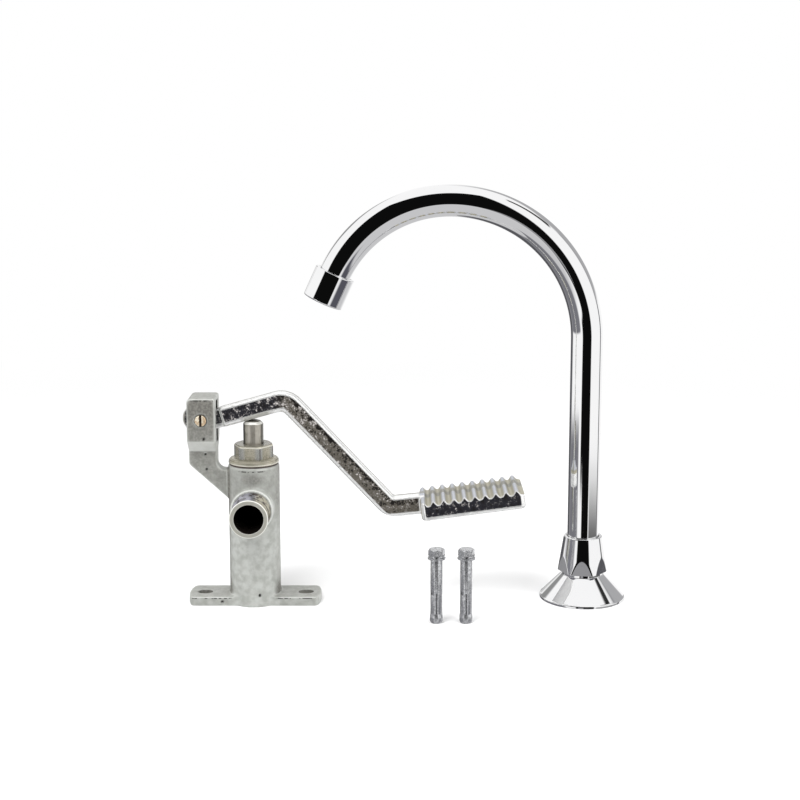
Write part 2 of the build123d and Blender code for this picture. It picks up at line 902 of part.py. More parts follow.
def anchor_cone_nut():
    """Expander nut with a rounded foot, on which the anchor stands."""
    return turned(
        (anchor_bolt_radius, anchor_bolt_end),
        (anchor_bolt_radius, anchor_cone_top),
        (anchor_sleeve_bore, anchor_cone_top),
        (anchor_sleeve_bore, anchor_sleeve_bottom),
        (anchor_sleeve_radius, anchor_sleeve_bottom),
        (anchor_cone_radius, anchor_cone_low),
        (anchor_cone_radius, anchor_foot_height),
        (anchor_cone_radius - anchor_foot_step[0], anchor_foot_step[1]),
        (anchor_cone_radius - anchor_foot_inset, 0),
        (0, 0),
        (0, anchor_bolt_end),
    )


save("valve_body", valve_body())
save("outlet_nipple", to_front(nipple(), outlet_height))
save("inlet_nipple", to_back(nipple(), inlet_height))
save("valve_seat", valve_seat())
save("gland_nut", gland_nut())
save("gland_gasket", gland_gasket())
save("pivot_screw", pivot_screw())
save("plunger", plunger())
save("plunger_o_rings", *plunger_rings())
save("valve_stem", valve_stem())
save("disc_carrier", disc_carrier())
save("valve_disc", valve_disc())
save("disc_nut", disc_nut())
save("return_spring", return_spring())
save("bottom_plug", bottom_plug())
save("plug_o_ring", plug_ring())
save("pedal_lever", pedal_lever())
save("base_flange", base_flange())
save("base_gasket", base_gasket())
save("cone_nut", cone_nut())
save("slip_washer", slip_washer())
save("tube_ferrule", tube_ferrule())
save("swivel_o_rings", *swivel_rings())
save("spout_tube", spout_tube())
save("nozzle_ferrule", nozzle_ferrule())
save("aerator_washer", aerator_washer())
save("aerator_screens", *aerator_screens())
save("aerator_insert", aerator_insert())
save("aerator_shell", aerator_shell())
save("anchor_bolts", *at_anchors(anchor_bolt()))
save("anchor_spring_washers", *at_anchors(anchor_spring_washer()))
save("anchor_flat_washers", *at_anchors(anchor_flat_washer()))
save("anchor_sleeves", *at_anchors(anchor_sleeve()))
save("anchor_cone_nuts", *at_anchors(anchor_cone_nut()))

stroke = dome_height(0) - dome_height(pedal_travel_deg)
print("plunger top", round(dome_height(0), 2), "mm, stroke", round(stroke, 3), "mm")
print("stroke per radian of pedal", round(stroke / radians(pedal_travel_deg), 2), "mm")
print("tube end at", [round(v, 2) for v in tube_end()], "mm")
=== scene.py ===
"""Looks of a foot pedal tap set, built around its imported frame.

The set is a cast pedal valve, a chrome swan-neck spout on a round base and two sleeve anchors.
Sizes are in millimetres and meshes are written in metres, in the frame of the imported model:
the origin is on the floor on the axis of the valve barrel, +X runs to the spout and +Z is up.
"""

import logging
import math
from dataclasses import dataclass
from enum import Enum
from typing import Optional, Sequence

import bmesh
import bpy
import numpy as np
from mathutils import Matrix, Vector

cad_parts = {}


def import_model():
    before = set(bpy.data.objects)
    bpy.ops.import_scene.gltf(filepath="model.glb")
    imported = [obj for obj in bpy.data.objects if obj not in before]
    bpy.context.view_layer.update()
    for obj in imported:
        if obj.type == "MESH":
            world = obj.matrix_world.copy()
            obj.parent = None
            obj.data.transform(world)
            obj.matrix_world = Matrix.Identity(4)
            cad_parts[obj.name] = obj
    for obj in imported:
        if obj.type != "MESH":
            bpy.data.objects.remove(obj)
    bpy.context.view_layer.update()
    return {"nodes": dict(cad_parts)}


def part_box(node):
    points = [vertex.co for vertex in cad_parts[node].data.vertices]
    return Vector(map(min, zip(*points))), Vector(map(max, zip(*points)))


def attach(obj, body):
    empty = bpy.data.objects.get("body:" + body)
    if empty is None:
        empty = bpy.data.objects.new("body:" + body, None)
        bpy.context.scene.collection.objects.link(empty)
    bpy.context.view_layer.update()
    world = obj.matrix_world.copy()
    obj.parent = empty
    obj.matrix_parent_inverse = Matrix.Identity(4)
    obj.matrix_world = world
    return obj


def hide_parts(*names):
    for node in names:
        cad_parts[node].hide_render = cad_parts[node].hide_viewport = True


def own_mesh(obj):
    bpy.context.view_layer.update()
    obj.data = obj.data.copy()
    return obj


MM = 0.001
log = logging.getLogger("tap_set")

Point = tuple[float, float, float]
Colour = tuple[float, float, float]
Span = tuple[float, float]
Socket = bpy.types.NodeSocket


class Body(Enum):
    """The bodies that the pieces ride on."""

    FIXED = "fixed"
    PEDAL = "pedal"
    PLUNGER = "plunger"
    SPOUT = "spout"


class Slot(Enum):
    """The record's material slots."""

    CAST_BODY = "cast_body"
    CAST_CHROME = "cast_chrome"
    BRIGHT_CHROME = "bright_chrome"
    NICKEL = "nickel"
    BRASS = "brass"
    FIBRE = "fibre"
    RUBBER = "rubber"
    SPRING_STEEL = "spring_steel"
    ZINC_STEEL = "zinc_steel"
    SCREEN_STEEL = "screen_steel"
    WHITE_PLASTIC = "white_plastic"


class Sum(Enum):
    """What a Math or Vector Math node works out."""

    ADD = "ADD"
    SUBTRACT = "SUBTRACT"
    MULTIPLY = "MULTIPLY"
    SCALE = "SCALE"
    MAXIMUM = "MAXIMUM"
    ABSOLUTE = "ABSOLUTE"
    LENGTH = "LENGTH"
    DOT = "DOT_PRODUCT"
    DEGREES = "DEGREES"
    ARCTAN2 = "ARCTAN2"
    ARCSINE = "ARCSINE"


# Node trees


@dataclass(frozen=True)
class Pattern:
    """A random pattern: size of its features in millimetres and number of its finer octaves.

    Where it is used as a share, values up to low count as 0 and values from high on as 1.
    """

    size: float
    detail: float = 2.0
    low: float = 0.3
    high: float = 0.7


class Sketch:
    """The node tree of a material or of the world, written as short calls."""

    def __init__(self, owner: "bpy.types.Material | bpy.types.World", coordinates: str = "Object") -> None:
        """Start with the owner's own shader and one set of coordinates.

        Args:
            owner: the material or the world.
            coordinates: the output of Texture Coordinate that the patterns use.
        """
        owner.use_nodes = True
        self.owner = owner
        self.nodes = owner.node_tree.nodes
        self.links = owner.node_tree.links
        self.place: Socket = self.nodes.new("ShaderNodeTexCoord").outputs[coordinates]

    def feed(self, socket: Socket, value: "Socket | float | Sequence[float]") -> None:
        """Link a socket or set its value.

        Args:
            socket: the input to feed.
            value: another socket, a number or a vector.
        """
        if isinstance(value, bpy.types.NodeSocket):
            self.links.new(value, socket)
        else:
            socket.default_value = value

    def paint(self, socket: Socket, colour: "Socket | Colour") -> None:
        """Feed a colour to a colour input."""
        self.feed(socket, (*colour, 1.0) if isinstance(colour, tuple) else colour)

    def sum_node(
        self, kind: str, what: Sum, values: Sequence["Socket | float | Sequence[float]"],
    ) -> bpy.types.Node:
        """Math or Vector Math node with its inputs fed in order.

        Args:
            kind: the node's type.
            what: what it works out.
            values: its inputs.

        Returns:
            The node.
        """
        node = self.nodes.new(kind)
        node.operation = what.value
        for socket, value in zip(node.inputs, values):
            self.feed(socket, value)
        return node

    def maths(self, what: Sum, *values: "Socket | float") -> Socket:
        """Result of a sum of numbers."""
        return self.sum_node("ShaderNodeMath", what, values).outputs[0]

    def vector(self, what: Sum, *values: "Socket | Sequence[float]") -> bpy.types.Node:
        """Node of a sum of vectors."""
        return self.sum_node("ShaderNodeVectorMath", what, values)

    def noise(self, pattern: Pattern, place: Optional[Socket] = None) -> Socket:
        """Smooth random values.

        Args:
            pattern: size and detail of the values.
            place: coordinates, or None for the tree's own.

        Returns:
            A factor from 0 to 1.
        """
        node = self.nodes.new("ShaderNodeTexNoise")
        node.inputs["Scale"].default_value = 1 / (pattern.size * MM)
        node.inputs["Detail"].default_value = pattern.detail
        self.links.new(place or self.place, node.inputs["Vector"])
        return node.outputs[0]

    def share(self, pattern: Pattern, start: float = 0.0, end: float = 1.0) -> Socket:
        """Smooth random values between start and end, by the pattern's low and high."""
        return self.span(self.noise(pattern), (pattern.low, pattern.high), start, end)

    def cells(self, size: float) -> Socket:
        """Distance to the nearest of many scattered points.

        Args:
            size: mean size of the cells between the points in millimetres.

        Returns:
            The distance as a share of that size.
        """
        node = self.nodes.new("ShaderNodeTexVoronoi")
        node.inputs["Scale"].default_value = 1 / (size * MM)
        self.links.new(self.place, node.inputs["Vector"])
        return node.outputs["Distance"]

    def attribute(self, name: str) -> Socket:
        """Values of a vertex attribute.

        Args:
            name: its name on the piece.

        Returns:
            The values.
        """
        node = self.nodes.new("ShaderNodeAttribute")
        node.attribute_name = name
        return node.outputs["Fac"]

    def split(self, vector: Socket) -> tuple[Socket, Socket, Socket]:
        """Take a vector apart.

        Args:
            vector: the vector.

        Returns:
            Its three numbers.
        """
        node = self.nodes.new("ShaderNodeSeparateXYZ")
        self.links.new(vector, node.inputs[0])
        return node.outputs[0], node.outputs[1], node.outputs[2]

    def both(self, *factors: Socket) -> Socket:
        """Product of factors.

        Args:
            factors: the factors, from 0 to 1.

        Returns:
            A factor that is 1 where all of them are 1.
        """
        product = factors[0]
        for factor in factors[1:]:
            product = self.maths(Sum.MULTIPLY, product, factor)
        return product

    def most(self, *factors: Socket) -> Socket:
        """Greatest of some factors.

        Args:
            factors: the factors.

        Returns:
            The greatest, point by point.
        """
        greatest = factors[0]
        for factor in factors[1:]:
            greatest = self.maths(Sum.MAXIMUM, greatest, factor)
        return greatest

    def span(self, value: Socket, limits: Span, start: float = 0.0, end: float = 1.0) -> Socket:
        """Map a value smoothly from one range to another.

        Args:
            value: the value.
            limits: the values that give start and end.
            start: result at the first limit and below.
            end: result at the second limit and above.

        Returns:
            The mapped value.
        """
        node = self.nodes.new("ShaderNodeMapRange")
        node.interpolation_type = "SMOOTHSTEP"
        for socket, number in zip(node.inputs[1:5], (*limits, start, end)):
            socket.default_value = number
        self.links.new(value, node.inputs[0])
        return node.outputs[0]

    def band(self, value: Socket, low: float, high: float, soft: float) -> Socket:
        """Factor that is 1 between two values and falls to 0 outside them.

        Args:
            value: the value.
            low: lower limit.
            high: upper limit.
            soft: half width of each step.

        Returns:
            The factor.
        """
        rise = self.span(value, (low - soft, low + soft))
        return self.both(rise, self.span(value, (high - soft, high + soft), 1.0, 0.0))

    def mix(self, factor: "Socket | float", first: "Socket | Colour", second: "Socket | Colour") -> Socket:
        """Colour between two colours.

        Args:
            factor: 0 for the first, 1 for the second.
            first: a colour or a colour socket.
            second: a colour or a colour socket.

        Returns:
            The mixed colour.
        """
        node = self.nodes.new("ShaderNodeMix")
        node.data_type = "RGBA"
        self.feed(node.inputs[0], factor)
        self.paint(node.inputs[6], first)
        self.paint(node.inputs[7], second)
        return node.outputs[2]

    def relief(self, *layers: tuple[Socket, float]) -> None:
        """Put bumps on the surface.

        Args:
            layers: pairs of a height from 0 to 1 and its depth in millimetres.
        """
        normal: Optional[Socket] = None
        for height, depth in layers:
            node = self.nodes.new("ShaderNodeBump")
            node.inputs["Distance"].default_value = depth * MM
            self.links.new(height, node.inputs["Height"])
            if normal is not None:
                self.links.new(normal, node.inputs["Normal"])
            normal = node.outputs[0]
        self.links.new(normal, self.nodes["Principled BSDF"].inputs["Normal"])

    def surface(
        self, colour: "Socket | Colour", roughness: "Socket | float", metallic: "Socket | float",
    ) -> None:
        """Set what the material's shader shows.

        Args:
            colour: its colour.
            roughness: 0 for a mirror, 1 for chalk.
            metallic: 0 for paint, 1 for bare metal.
        """
        shader = self.nodes["Principled BSDF"]
        self.paint(shader.inputs["Base Color"], colour)
        self.feed(shader.inputs["Roughness"], roughness)
        self.feed(shader.inputs["Metallic"], metallic)

    def about_axis(self, centre: Point, axis: Point) -> Socket:
        """Coordinates that don't change round an axis.

        With q = p - centre and h = q . axis the result is (|q - h axis|, 0, h), so that noise on
        it runs in rings, as the marks of a turning tool do.

        Args:
            centre: a point on the axis, in millimetres.
            axis: unit direction of the axis.

        Returns:
            The coordinates.
        """
        offset = self.vector(Sum.SUBTRACT, self.place, [v * MM for v in centre]).outputs[0]
        height = self.vector(Sum.DOT, offset, axis).outputs["Value"]
        along = self.vector(Sum.SCALE, list(axis))
        self.links.new(height, along.inputs["Scale"])
        radial = self.vector(Sum.SUBTRACT, offset, along.outputs[0]).outputs[0]
        radius = self.vector(Sum.LENGTH, radial).outputs["Value"]
        joined = self.nodes.new("ShaderNodeCombineXYZ")
        self.links.new(radius, joined.inputs[0])
        self.links.new(height, joined.inputs[2])
        return joined.outputs[0]


# Finishes


def dimmed(colour: Colour, share: float) -> Colour:
    """The same colour, darker."""
    return tuple(share * v for v in colour)


@dataclass(frozen=True)
class Finish:
    """Base of the finishes: its name and its slot in the record."""

    name: str
    slot: Slot

    def material(self) -> bpy.types.Material:
        """Make the material.

        Returns:
            A new material of this finish.
        """
        sketch = Sketch(bpy.data.materials.new(self.name))
        self.lay_on(sketch)
        return sketch.owner

    def lay_on(self, sketch: Sketch) -> None:
        """Build the finish on a material's tree."""
        raise NotImplementedError


@dataclass(frozen=True)
class MirrorChrome(Finish):
    """Polished chrome plate: a mirror with a long faint ripple and a little polishing haze."""

    name: str = "mirror_chrome"
    slot: Slot = Slot.BRIGHT_CHROME
    colour: Colour = (0.93, 0.93, 0.935)
    clouds: Pattern = Pattern(30.0)
    cloud_tint: float = 0.96
    haze: Pattern = Pattern(9.0, 4.0, 0.35, 0.75)
    gloss: Span = (0.02, 0.06)
    ripple: Pattern = Pattern(26.0, 1.0)
    ripple_depth: float = 0.02

    def lay_on(self, sketch: Sketch) -> None:
        """Build the finish on a material's tree.

        Args:
            sketch: the tree.
        """
        tint = sketch.mix(sketch.noise(self.clouds), self.colour, dimmed(self.colour, self.cloud_tint))
        sketch.surface(tint, sketch.share(self.haze, *self.gloss), 1.0)
        sketch.relief((sketch.noise(self.ripple), self.ripple_depth))


@dataclass(frozen=True)
class ThreadedChrome(Finish):
    """Chrome on a pipe thread with a painted reflection: violet grey to the left, khaki to the right.

    The cut end is matt grey with painted highlights on its rims, and painted shade makes the bore
    dark. It reads the attributes cut, rim and inside.
    """

    name: str = "threaded_chrome"
    slot: Slot = Slot.BRIGHT_CHROME
    # violet to khaki across the thread: a painted reflection
    violet: Colour = (0.42, 0.42, 0.465)
    khaki: Colour = (0.42, 0.40, 0.32)
    turn: Span = (1.0 * MM, 6.0 * MM)
    stain: Colour = (0.10, 0.085, 0.08)
    stains: Pattern = Pattern(4.0, 3.0, 0.5, 0.62)
    cream: Colour = (0.33, 0.325, 0.285)
    # rim: painted highlight on the cut end's rims; bore: painted shade in the bore
    rim: Colour = (0.78, 0.78, 0.73)
    bore: Colour = (0.03, 0.024, 0.02)
    gloss: Span = (0.05, 0.2)
    cut_roughness: float = 0.4
    metallic: Span = (0.65, 0.2)
    scratches: Pattern = Pattern(0.6, 3.0)
    scratch_depth: float = 0.01

    def lay_on(self, sketch: Sketch) -> None:
        """Build the finish on a material's tree.

        Args:
            sketch: the tree.
        """
        cut, stain = sketch.attribute("cut"), sketch.share(self.stains)
        across = sketch.split(sketch.place)[0]
        # painted reflection: violet grey turning khaki to the right
        colour = sketch.mix(sketch.span(across, self.turn), self.violet, self.khaki)
        colour = sketch.mix(stain, colour, self.stain)
        colour = sketch.mix(cut, colour, self.cream)
        # painted highlight on the rims, painted shade in the bore
        colour = sketch.mix(sketch.attribute("rim"), colour, self.rim)
        colour = sketch.mix(sketch.attribute("inside"), colour, self.bore)
        roughness = sketch.most(
            sketch.span(stain, (0.0, 1.0), *self.gloss),
            sketch.span(cut, (0.0, 1.0), 0.0, self.cut_roughness))
        sketch.surface(colour, roughness, sketch.span(cut, (0.0, 1.0), *self.metallic))
        sketch.relief((sketch.noise(self.scratches), self.scratch_depth))


@dataclass(frozen=True)
class CastChrome(Finish):
    """Chrome on a rough casting.

    Rims and bevels are bright, with a few places dimmed by painted shade. The broad front and back
    carry a mottled painted reflection: charcoal near the clevis and on the tread, with thick painted
    glints around the knee, warm grey on the sloping run with black along its upper edge. The
    tread's ridges get a bluish grey painted highlight and the valleys between them a khaki painted
    shade. It reads the attributes side, across, warm, dense, dim and crest.
    """

    name: str = "cast_chrome"
    slot: Slot = Slot.CAST_CHROME
    bright: Colour = (0.90, 0.90, 0.89)
    bright_tint: float = 0.9
    # charcoal, warm grey, black, haze and the glint: the painted reflection on the front and back
    charcoal: Colour = (0.012, 0.012, 0.018)
    warm_grey: Colour = (0.105, 0.094, 0.077)
    black: Colour = (0.008, 0.006, 0.005)
    haze: Colour = (0.24, 0.225, 0.22)
    painted_glint: Colour = (0.56, 0.53, 0.51)
    # khaki: painted shade in the tread's valleys; crest: painted highlight on its ridges
    khaki: Colour = (0.35, 0.33, 0.255)
    crest: Colour = (0.41, 0.425, 0.46)
    # dim: painted shade under the bar and in the eye behind the clevis, and the darker back top edge
    dim: Colour = (0.22, 0.215, 0.185)
    face_start: Span = (0.94, 0.99)
    rim_end: Span = (0.3, 0.5)
    tread_start: Span = (-0.5, -0.2)
    ridge_start: Span = (0.4, 0.95)
    tread_matt: float = 0.8
    gloss: Span = (0.1, 0.42)
    metallic: Span = (0.6, 0.12)
    clouds: Pattern = Pattern(3.2, 3.0, 0.4, 0.7)
    grit: Pattern = Pattern(1.1, 4.0)
    # from here to the glint threshold: how the painted reflection and its painted glints are laid out
    upper_start: Span = (0.05, 0.55)
    upper_gain: float = 0.09
    dense_gain: float = 0.02
    black_below: Span = (0.40, 0.46)
    haze_above: Span = (0.50, 0.60)
    haze_share: float = 0.6
    glints_above: Span = (0.575, 0.63)
    peel: Pattern = Pattern(2.4, 3.0)
    peel_depth: float = 0.16
    pit_size: float = 3.4
    pit_start: Span = (0.1, 0.3)
    pit_depth: float = 0.12

    def lay_on(self, sketch: Sketch) -> None:
        """Build the finish on a material's tree.

        Args:
            sketch: the tree.
        """
        side, crest, dim = (sketch.attribute(name) for name in ("side", "crest", "dim"))
        face = sketch.span(side, self.face_start)
        rim = sketch.span(side, self.rim_end)
        tread = sketch.both(sketch.span(crest, self.tread_start), sketch.span(rim, (0.0, 1.0), 1.0, 0.0))
        cloud = sketch.noise(self.clouds)
        light = sketch.span(cloud, (self.clouds.low, self.clouds.high))
        colour = sketch.mix(light, self.bright, dimmed(self.bright, self.bright_tint))
        # painted highlight on the ridges, painted shade in the valleys
        ridges = sketch.mix(sketch.span(crest, self.ridge_start), self.khaki, self.crest)
        colour = sketch.mix(tread, colour, ridges)
        # painted reflection on the faces turned to the front and back
        colour = sketch.mix(face, colour, self.painted_reflection(sketch, cloud))
        # painted shade and the darker back top edge, where dim is set
        colour = sketch.mix(dim, colour, self.dim)
        matt = sketch.most(face, dim, sketch.maths(Sum.MULTIPLY, tread, self.tread_matt))
        roughness = sketch.span(matt, (0.0, 1.0), *self.gloss)
        sketch.surface(colour, roughness, sketch.span(matt, (0.0, 1.0), *self.metallic))
        pits = sketch.span(sketch.cells(self.pit_size), self.pit_start)
        sketch.relief((sketch.noise(self.peel), self.peel_depth), (pits, self.pit_depth))

    def painted_reflection(self, sketch: Sketch, cloud: Socket) -> Socket:
        """Colour of the painted reflection on the mottled front and back.

        The mean m of a coarse and a fine random pattern decides: black where m is low, haze and then
        painted glints where it is high. Along the upper edge m counts as lower for the black, and dense
        places count as higher for the glints.

        Args:
            sketch: the material's tree.
            cloud: the coarse pattern.

        Returns:
            The colour.
        """
        warm = sketch.attribute("warm")
        upper = sketch.both(warm, sketch.span(sketch.attribute("across"), self.upper_start))
        mean = sketch.maths(Sum.MULTIPLY, sketch.maths(Sum.ADD, cloud, sketch.noise(self.grit)), 0.5)
        deep = sketch.maths(Sum.SUBTRACT, mean, sketch.maths(Sum.MULTIPLY, upper, self.upper_gain))
        dense = sketch.maths(Sum.MULTIPLY, sketch.attribute("dense"), self.dense_gain)
        high = sketch.maths(Sum.ADD, mean, dense)
        colour = sketch.mix(warm, self.charcoal, self.warm_grey)
        colour = sketch.mix(sketch.span(high, self.haze_above, 0.0, self.haze_share), colour, self.haze)
        colour = sketch.mix(sketch.span(deep, self.black_below, 1.0, 0.0), colour, self.black)
        return sketch.mix(sketch.span(high, self.glints_above), colour, self.painted_glint)


@dataclass(frozen=True)
class DottedLine:
    """A broken dark line on the casting's front: its heights and how far to each side it runs."""

    low: float
    high: float
    start: float
    end: float


@dataclass(frozen=True)
class SatinCast(Finish):
    """Nickelled casting: satin grey with a fine grain and soft mottles.

    Painted shade darkens the front and back of arm and clevis, the tops, the slots and the barrel's
    flanks, and the barrel darkens above its outlet. Outer edges are brighter, partly from wear and
    partly as painted highlight, and painted shade makes water ways and casting pits nearly black.
    Dotted dark lines run below the front top edges of the foot plate, of the clevis and of the
    barrel. It reads the attributes shade, edge and hollow.
    """

    name: str = "satin_cast"
    slot: Slot = Slot.CAST_BODY
    light: Colour = (0.56, 0.575, 0.545)
    dark: Colour = (0.41, 0.42, 0.39)
    mottle: Pattern = Pattern(5.0, 5.0)
    # painted shade: the colour that the shade attribute mixes in, with random spots
    painted_shade: Colour = (0.16, 0.155, 0.14)
    painted_shade_light: Colour = (0.25, 0.245, 0.22)
    spots: Pattern = Pattern(1.6, 4.0, 0.35, 0.65)
    # edge: brighter outer edges, partly wear and partly painted highlight
    edge: Colour = (0.70, 0.71, 0.68)
    # hollow: painted shade in the bores, the window and the pits, and the colour of the dotted lines
    hollow: Colour = (0.014, 0.011, 0.009)
    sheen: Pattern = Pattern(2.0, 3.0)
    gloss: Span = (0.38, 0.52)
    metallic: float = 0.25
    grain: Pattern = Pattern(0.7)
    grain_depth: float = 0.04
    wave: Pattern = Pattern(6.0)
    wave_depth: float = 0.12
    lines: tuple[DottedLine, ...] = (
        DottedLine(5.0, 5.6, 15.5, 99), DottedLine(145.2, 146.0, 15.5, 99), DottedLine(96.3, 97.0, -1, 9))
    line_soft: float = 0.2
    line_end_soft: float = 0.5
    line_front: Span = (-13.3 * MM, -13.0 * MM)
    dots: Pattern = Pattern(2.2, 2.0, 0.47, 0.53)

    def lay_on(self, sketch: Sketch) -> None:
        """Build the finish on a material's tree.

        Args:
            sketch: the tree.
        """
        painted_shade = sketch.mix(sketch.share(self.spots), self.painted_shade, self.painted_shade_light)
        colour = sketch.mix(sketch.share(self.mottle), self.dark, self.light)
        # painted shade; then edges brightened by wear and painted highlight; then the dotted lines and the
        # painted shade of the hollows
        colour = sketch.mix(sketch.attribute("shade"), colour, painted_shade)
        colour = sketch.mix(sketch.attribute("edge"), colour, self.edge)
        colour = sketch.mix(self.dotted_lines(sketch), colour, self.hollow)
        colour = sketch.mix(sketch.attribute("hollow"), colour, self.hollow)
        sketch.surface(colour, sketch.share(self.sheen, *self.gloss), self.metallic)
        wave = (sketch.noise(self.wave), self.wave_depth)
        sketch.relief(wave, (sketch.noise(self.grain), self.grain_depth))

    def dotted_lines(self, sketch: Sketch) -> Socket:
        """Factor that is 1 on the dotted lines, from the place on the casting and a random pattern.

        Args:
            sketch: the material's tree.

        Returns:
            The factor.
        """
        across, depth, height = sketch.split(sketch.place)
        aside = sketch.maths(Sum.ABSOLUTE, across)
        drawn = sketch.most(*(
            sketch.both(
                sketch.band(height, line.low * MM, line.high * MM, self.line_soft * MM),
                sketch.band(aside, line.start * MM, line.end * MM, self.line_end_soft * MM))
            for line in self.lines))
        return sketch.both(drawn, sketch.span(depth, self.line_front, 1.0, 0.0), sketch.share(self.dots))


@dataclass(frozen=True)
class TurnedMetal(Finish):
    """Metal from the lathe: fine rings about its own axis, and a little tarnish.

    Each accent names a vertex attribute and the colour that it mixes in.
    """

    colour: Colour
    tarnish: Colour
    centre: Point = (0.0, 0.0, 0.0)
    axis: Point = (0.0, 0.0, 1.0)
    metallic: float = 1.0
    gloss: Span = (0.18, 0.34)
    accents: tuple[tuple[str, Colour], ...] = ()
    stains: Pattern = Pattern(4.0, 4.0, 0.42, 0.72)
    rings: Pattern = Pattern(0.25, 3.0)
    ring_depth: float = 0.006

    def lay_on(self, sketch: Sketch) -> None:
        """Build the finish on a material's tree.

        Args:
            sketch: the tree.
        """
        rings = sketch.noise(self.rings, sketch.about_axis(self.centre, self.axis))
        colour = sketch.mix(sketch.share(self.stains), self.colour, self.tarnish)
        for name, accent in self.accents:
            colour = sketch.mix(sketch.attribute(name), colour, accent)
        roughness = sketch.span(rings, (self.rings.low, self.rings.high), *self.gloss)
        sketch.surface(colour, roughness, self.metallic)
        sketch.relief((rings, self.ring_depth))


@dataclass(frozen=True)
class SlottedBrass(Finish):
    """Slotted screw head of tarnished brass, cream; painted shade browns its right and darkens slot and rim.
    """

    name: str = "slotted_brass"
    slot: Slot = Slot.BRASS
    centre: Point = (0.0, 0.0, 0.0)
    axis: Point = (0.0, 1.0, 0.0)
    cream: Colour = (0.84, 0.76, 0.60)
    brown: Colour = (0.42, 0.26, 0.13)
    # dark: painted shade in the slot and on the rim
    dark: Colour = (0.035, 0.022, 0.012)
    stains: Pattern = Pattern(2.0, 3.0, 0.42, 0.62)
    stain_share: float = 0.7
    # painted shade that browns the right side of the head
    brown_side: Span = (0.8 * MM, 2.6 * MM)
    brown_share: float = 0.75
    slot_half: float = 0.85
    slot_soft: float = 0.3
    rim: Span = (3.7 * MM, 4.1 * MM)
    sheen: Pattern = Pattern(0.5, 3.0)
    gloss: Span = (0.2, 0.34)
    metallic: float = 0.3
    rings: Pattern = Pattern(0.3, 3.0)
    ring_depth: float = 0.006

    def lay_on(self, sketch: Sketch) -> None:
        """Build the finish on a material's tree.

        Args:
            sketch: the tree.
        """
        axial = sketch.about_axis(self.centre, self.axis)
        offset = sketch.vector(Sum.SUBTRACT, sketch.place, [v * MM for v in self.centre]).outputs[0]
        radius, across = sketch.split(axial)[0], sketch.split(offset)[0]
        # random stains, and the painted shade that browns the right side
        stains_and_painted_shade = sketch.most(
            sketch.share(self.stains, 0.0, self.stain_share),
            sketch.span(across, self.brown_side, 0.0, self.brown_share))
        # painted shade in the slot and on the rim
        groove = sketch.band(across, -self.slot_half * MM, self.slot_half * MM, self.slot_soft * MM)
        colour = sketch.mix(stains_and_painted_shade, self.cream, self.brown)
        colour = sketch.mix(sketch.most(groove, sketch.span(radius, self.rim)), colour, self.dark)
        sketch.surface(colour, sketch.share(self.sheen, *self.gloss), self.metallic)
        sketch.relief((sketch.noise(self.rings, axial), self.ring_depth))


@dataclass(frozen=True)
class PlainMetal(Finish):
    """Drawn or stamped steel with small spangles and scuffs."""

    colour: Colour
    shade: Colour
    spangles: Pattern = Pattern(1.6, 4.0)
    depth: float = 0.02
    gloss: Span = (0.22, 0.42)
    metallic: float = 1.0
    shade_start: Span = (0.35, 0.65)
    scuffs: Pattern = Pattern(0.5, 2.0, 0.45, 0.7)

    def lay_on(self, sketch: Sketch) -> None:
        """Build the finish on a material's tree.

        Args:
            sketch: the tree.
        """
        spangles = sketch.noise(self.spangles)
        colour = sketch.mix(sketch.span(spangles, self.shade_start), self.colour, self.shade)
        roughness = sketch.span(spangles, (self.spangles.low, self.spangles.high), *self.gloss)
        sketch.surface(colour, roughness, self.metallic)
        sketch.relief((spangles, self.depth), (sketch.share(self.scuffs), self.depth / 2))


@dataclass(frozen=True)
class Moulded(Finish):
    """Moulded rubber, fibre or plastic: a fine grain with slight clouds in its colour."""

    colour: Colour
    cloud: Colour
    grain: Pattern
    depth: float
    gloss: Span
    clouds: Pattern = Pattern(3.0, 3.0, 0.35, 0.7)

    def lay_on(self, sketch: Sketch) -> None:
        """Build the finish on a material's tree.

        Args:
            sketch: the tree.
        """
        grain = sketch.noise(self.grain)
        colour = sketch.mix(sketch.share(self.clouds), self.colour, self.cloud)
        sketch.surface(colour, sketch.span(grain, (self.grain.low, self.grain.high), *self.gloss), 0.0)
        sketch.relief((grain, self.depth))


RUBBER = Moulded(
    "rubber", Slot.RUBBER, (0.02, 0.02, 0.02), (0.045, 0.045, 0.045), Pattern(0.4, 3.0), 0.02, (0.5, 0.75))
BRASS: Colour = (0.78, 0.60, 0.34)
BRASS_TARNISH: Colour = (0.60, 0.44, 0.25)


class FinishShelf:
    """Makes each finish once and hands it out by name."""

    def __init__(self) -> None:
        """Start with no materials made."""
        self._made: dict[str, bpy.types.Material] = {}

    def dress(self, piece: bpy.types.Object, finish: Finish) -> None:
        """Give a piece or a frame node one finish.

        Args:
            piece: the object.
            finish: its finish.
        """
        if finish.name not in self._made:
            self._made[finish.name] = finish.material()
        piece.data.materials.clear()
        piece.data.materials.append(self._made[finish.name])


# Shapes


SHARP_ANGLE = 40.0
BEVEL_SEGMENTS = 3
SMOOTHING = 0.5

# Distances in metres: points that count as one, also in a frame node, and edges without length
SAME_POINT = 1e-7
SAME_NODE_POINT = 1e-6
NO_LENGTH = 1e-8

# The extra points of a straight run lie this far from its ends, or at this share of a short one
END_GAP = 0.08
END_SHARE = 0.3

# Millimetres that count as nothing, and the sine below which two directions count as one
TINY = 0.01
PARALLEL = 0.1


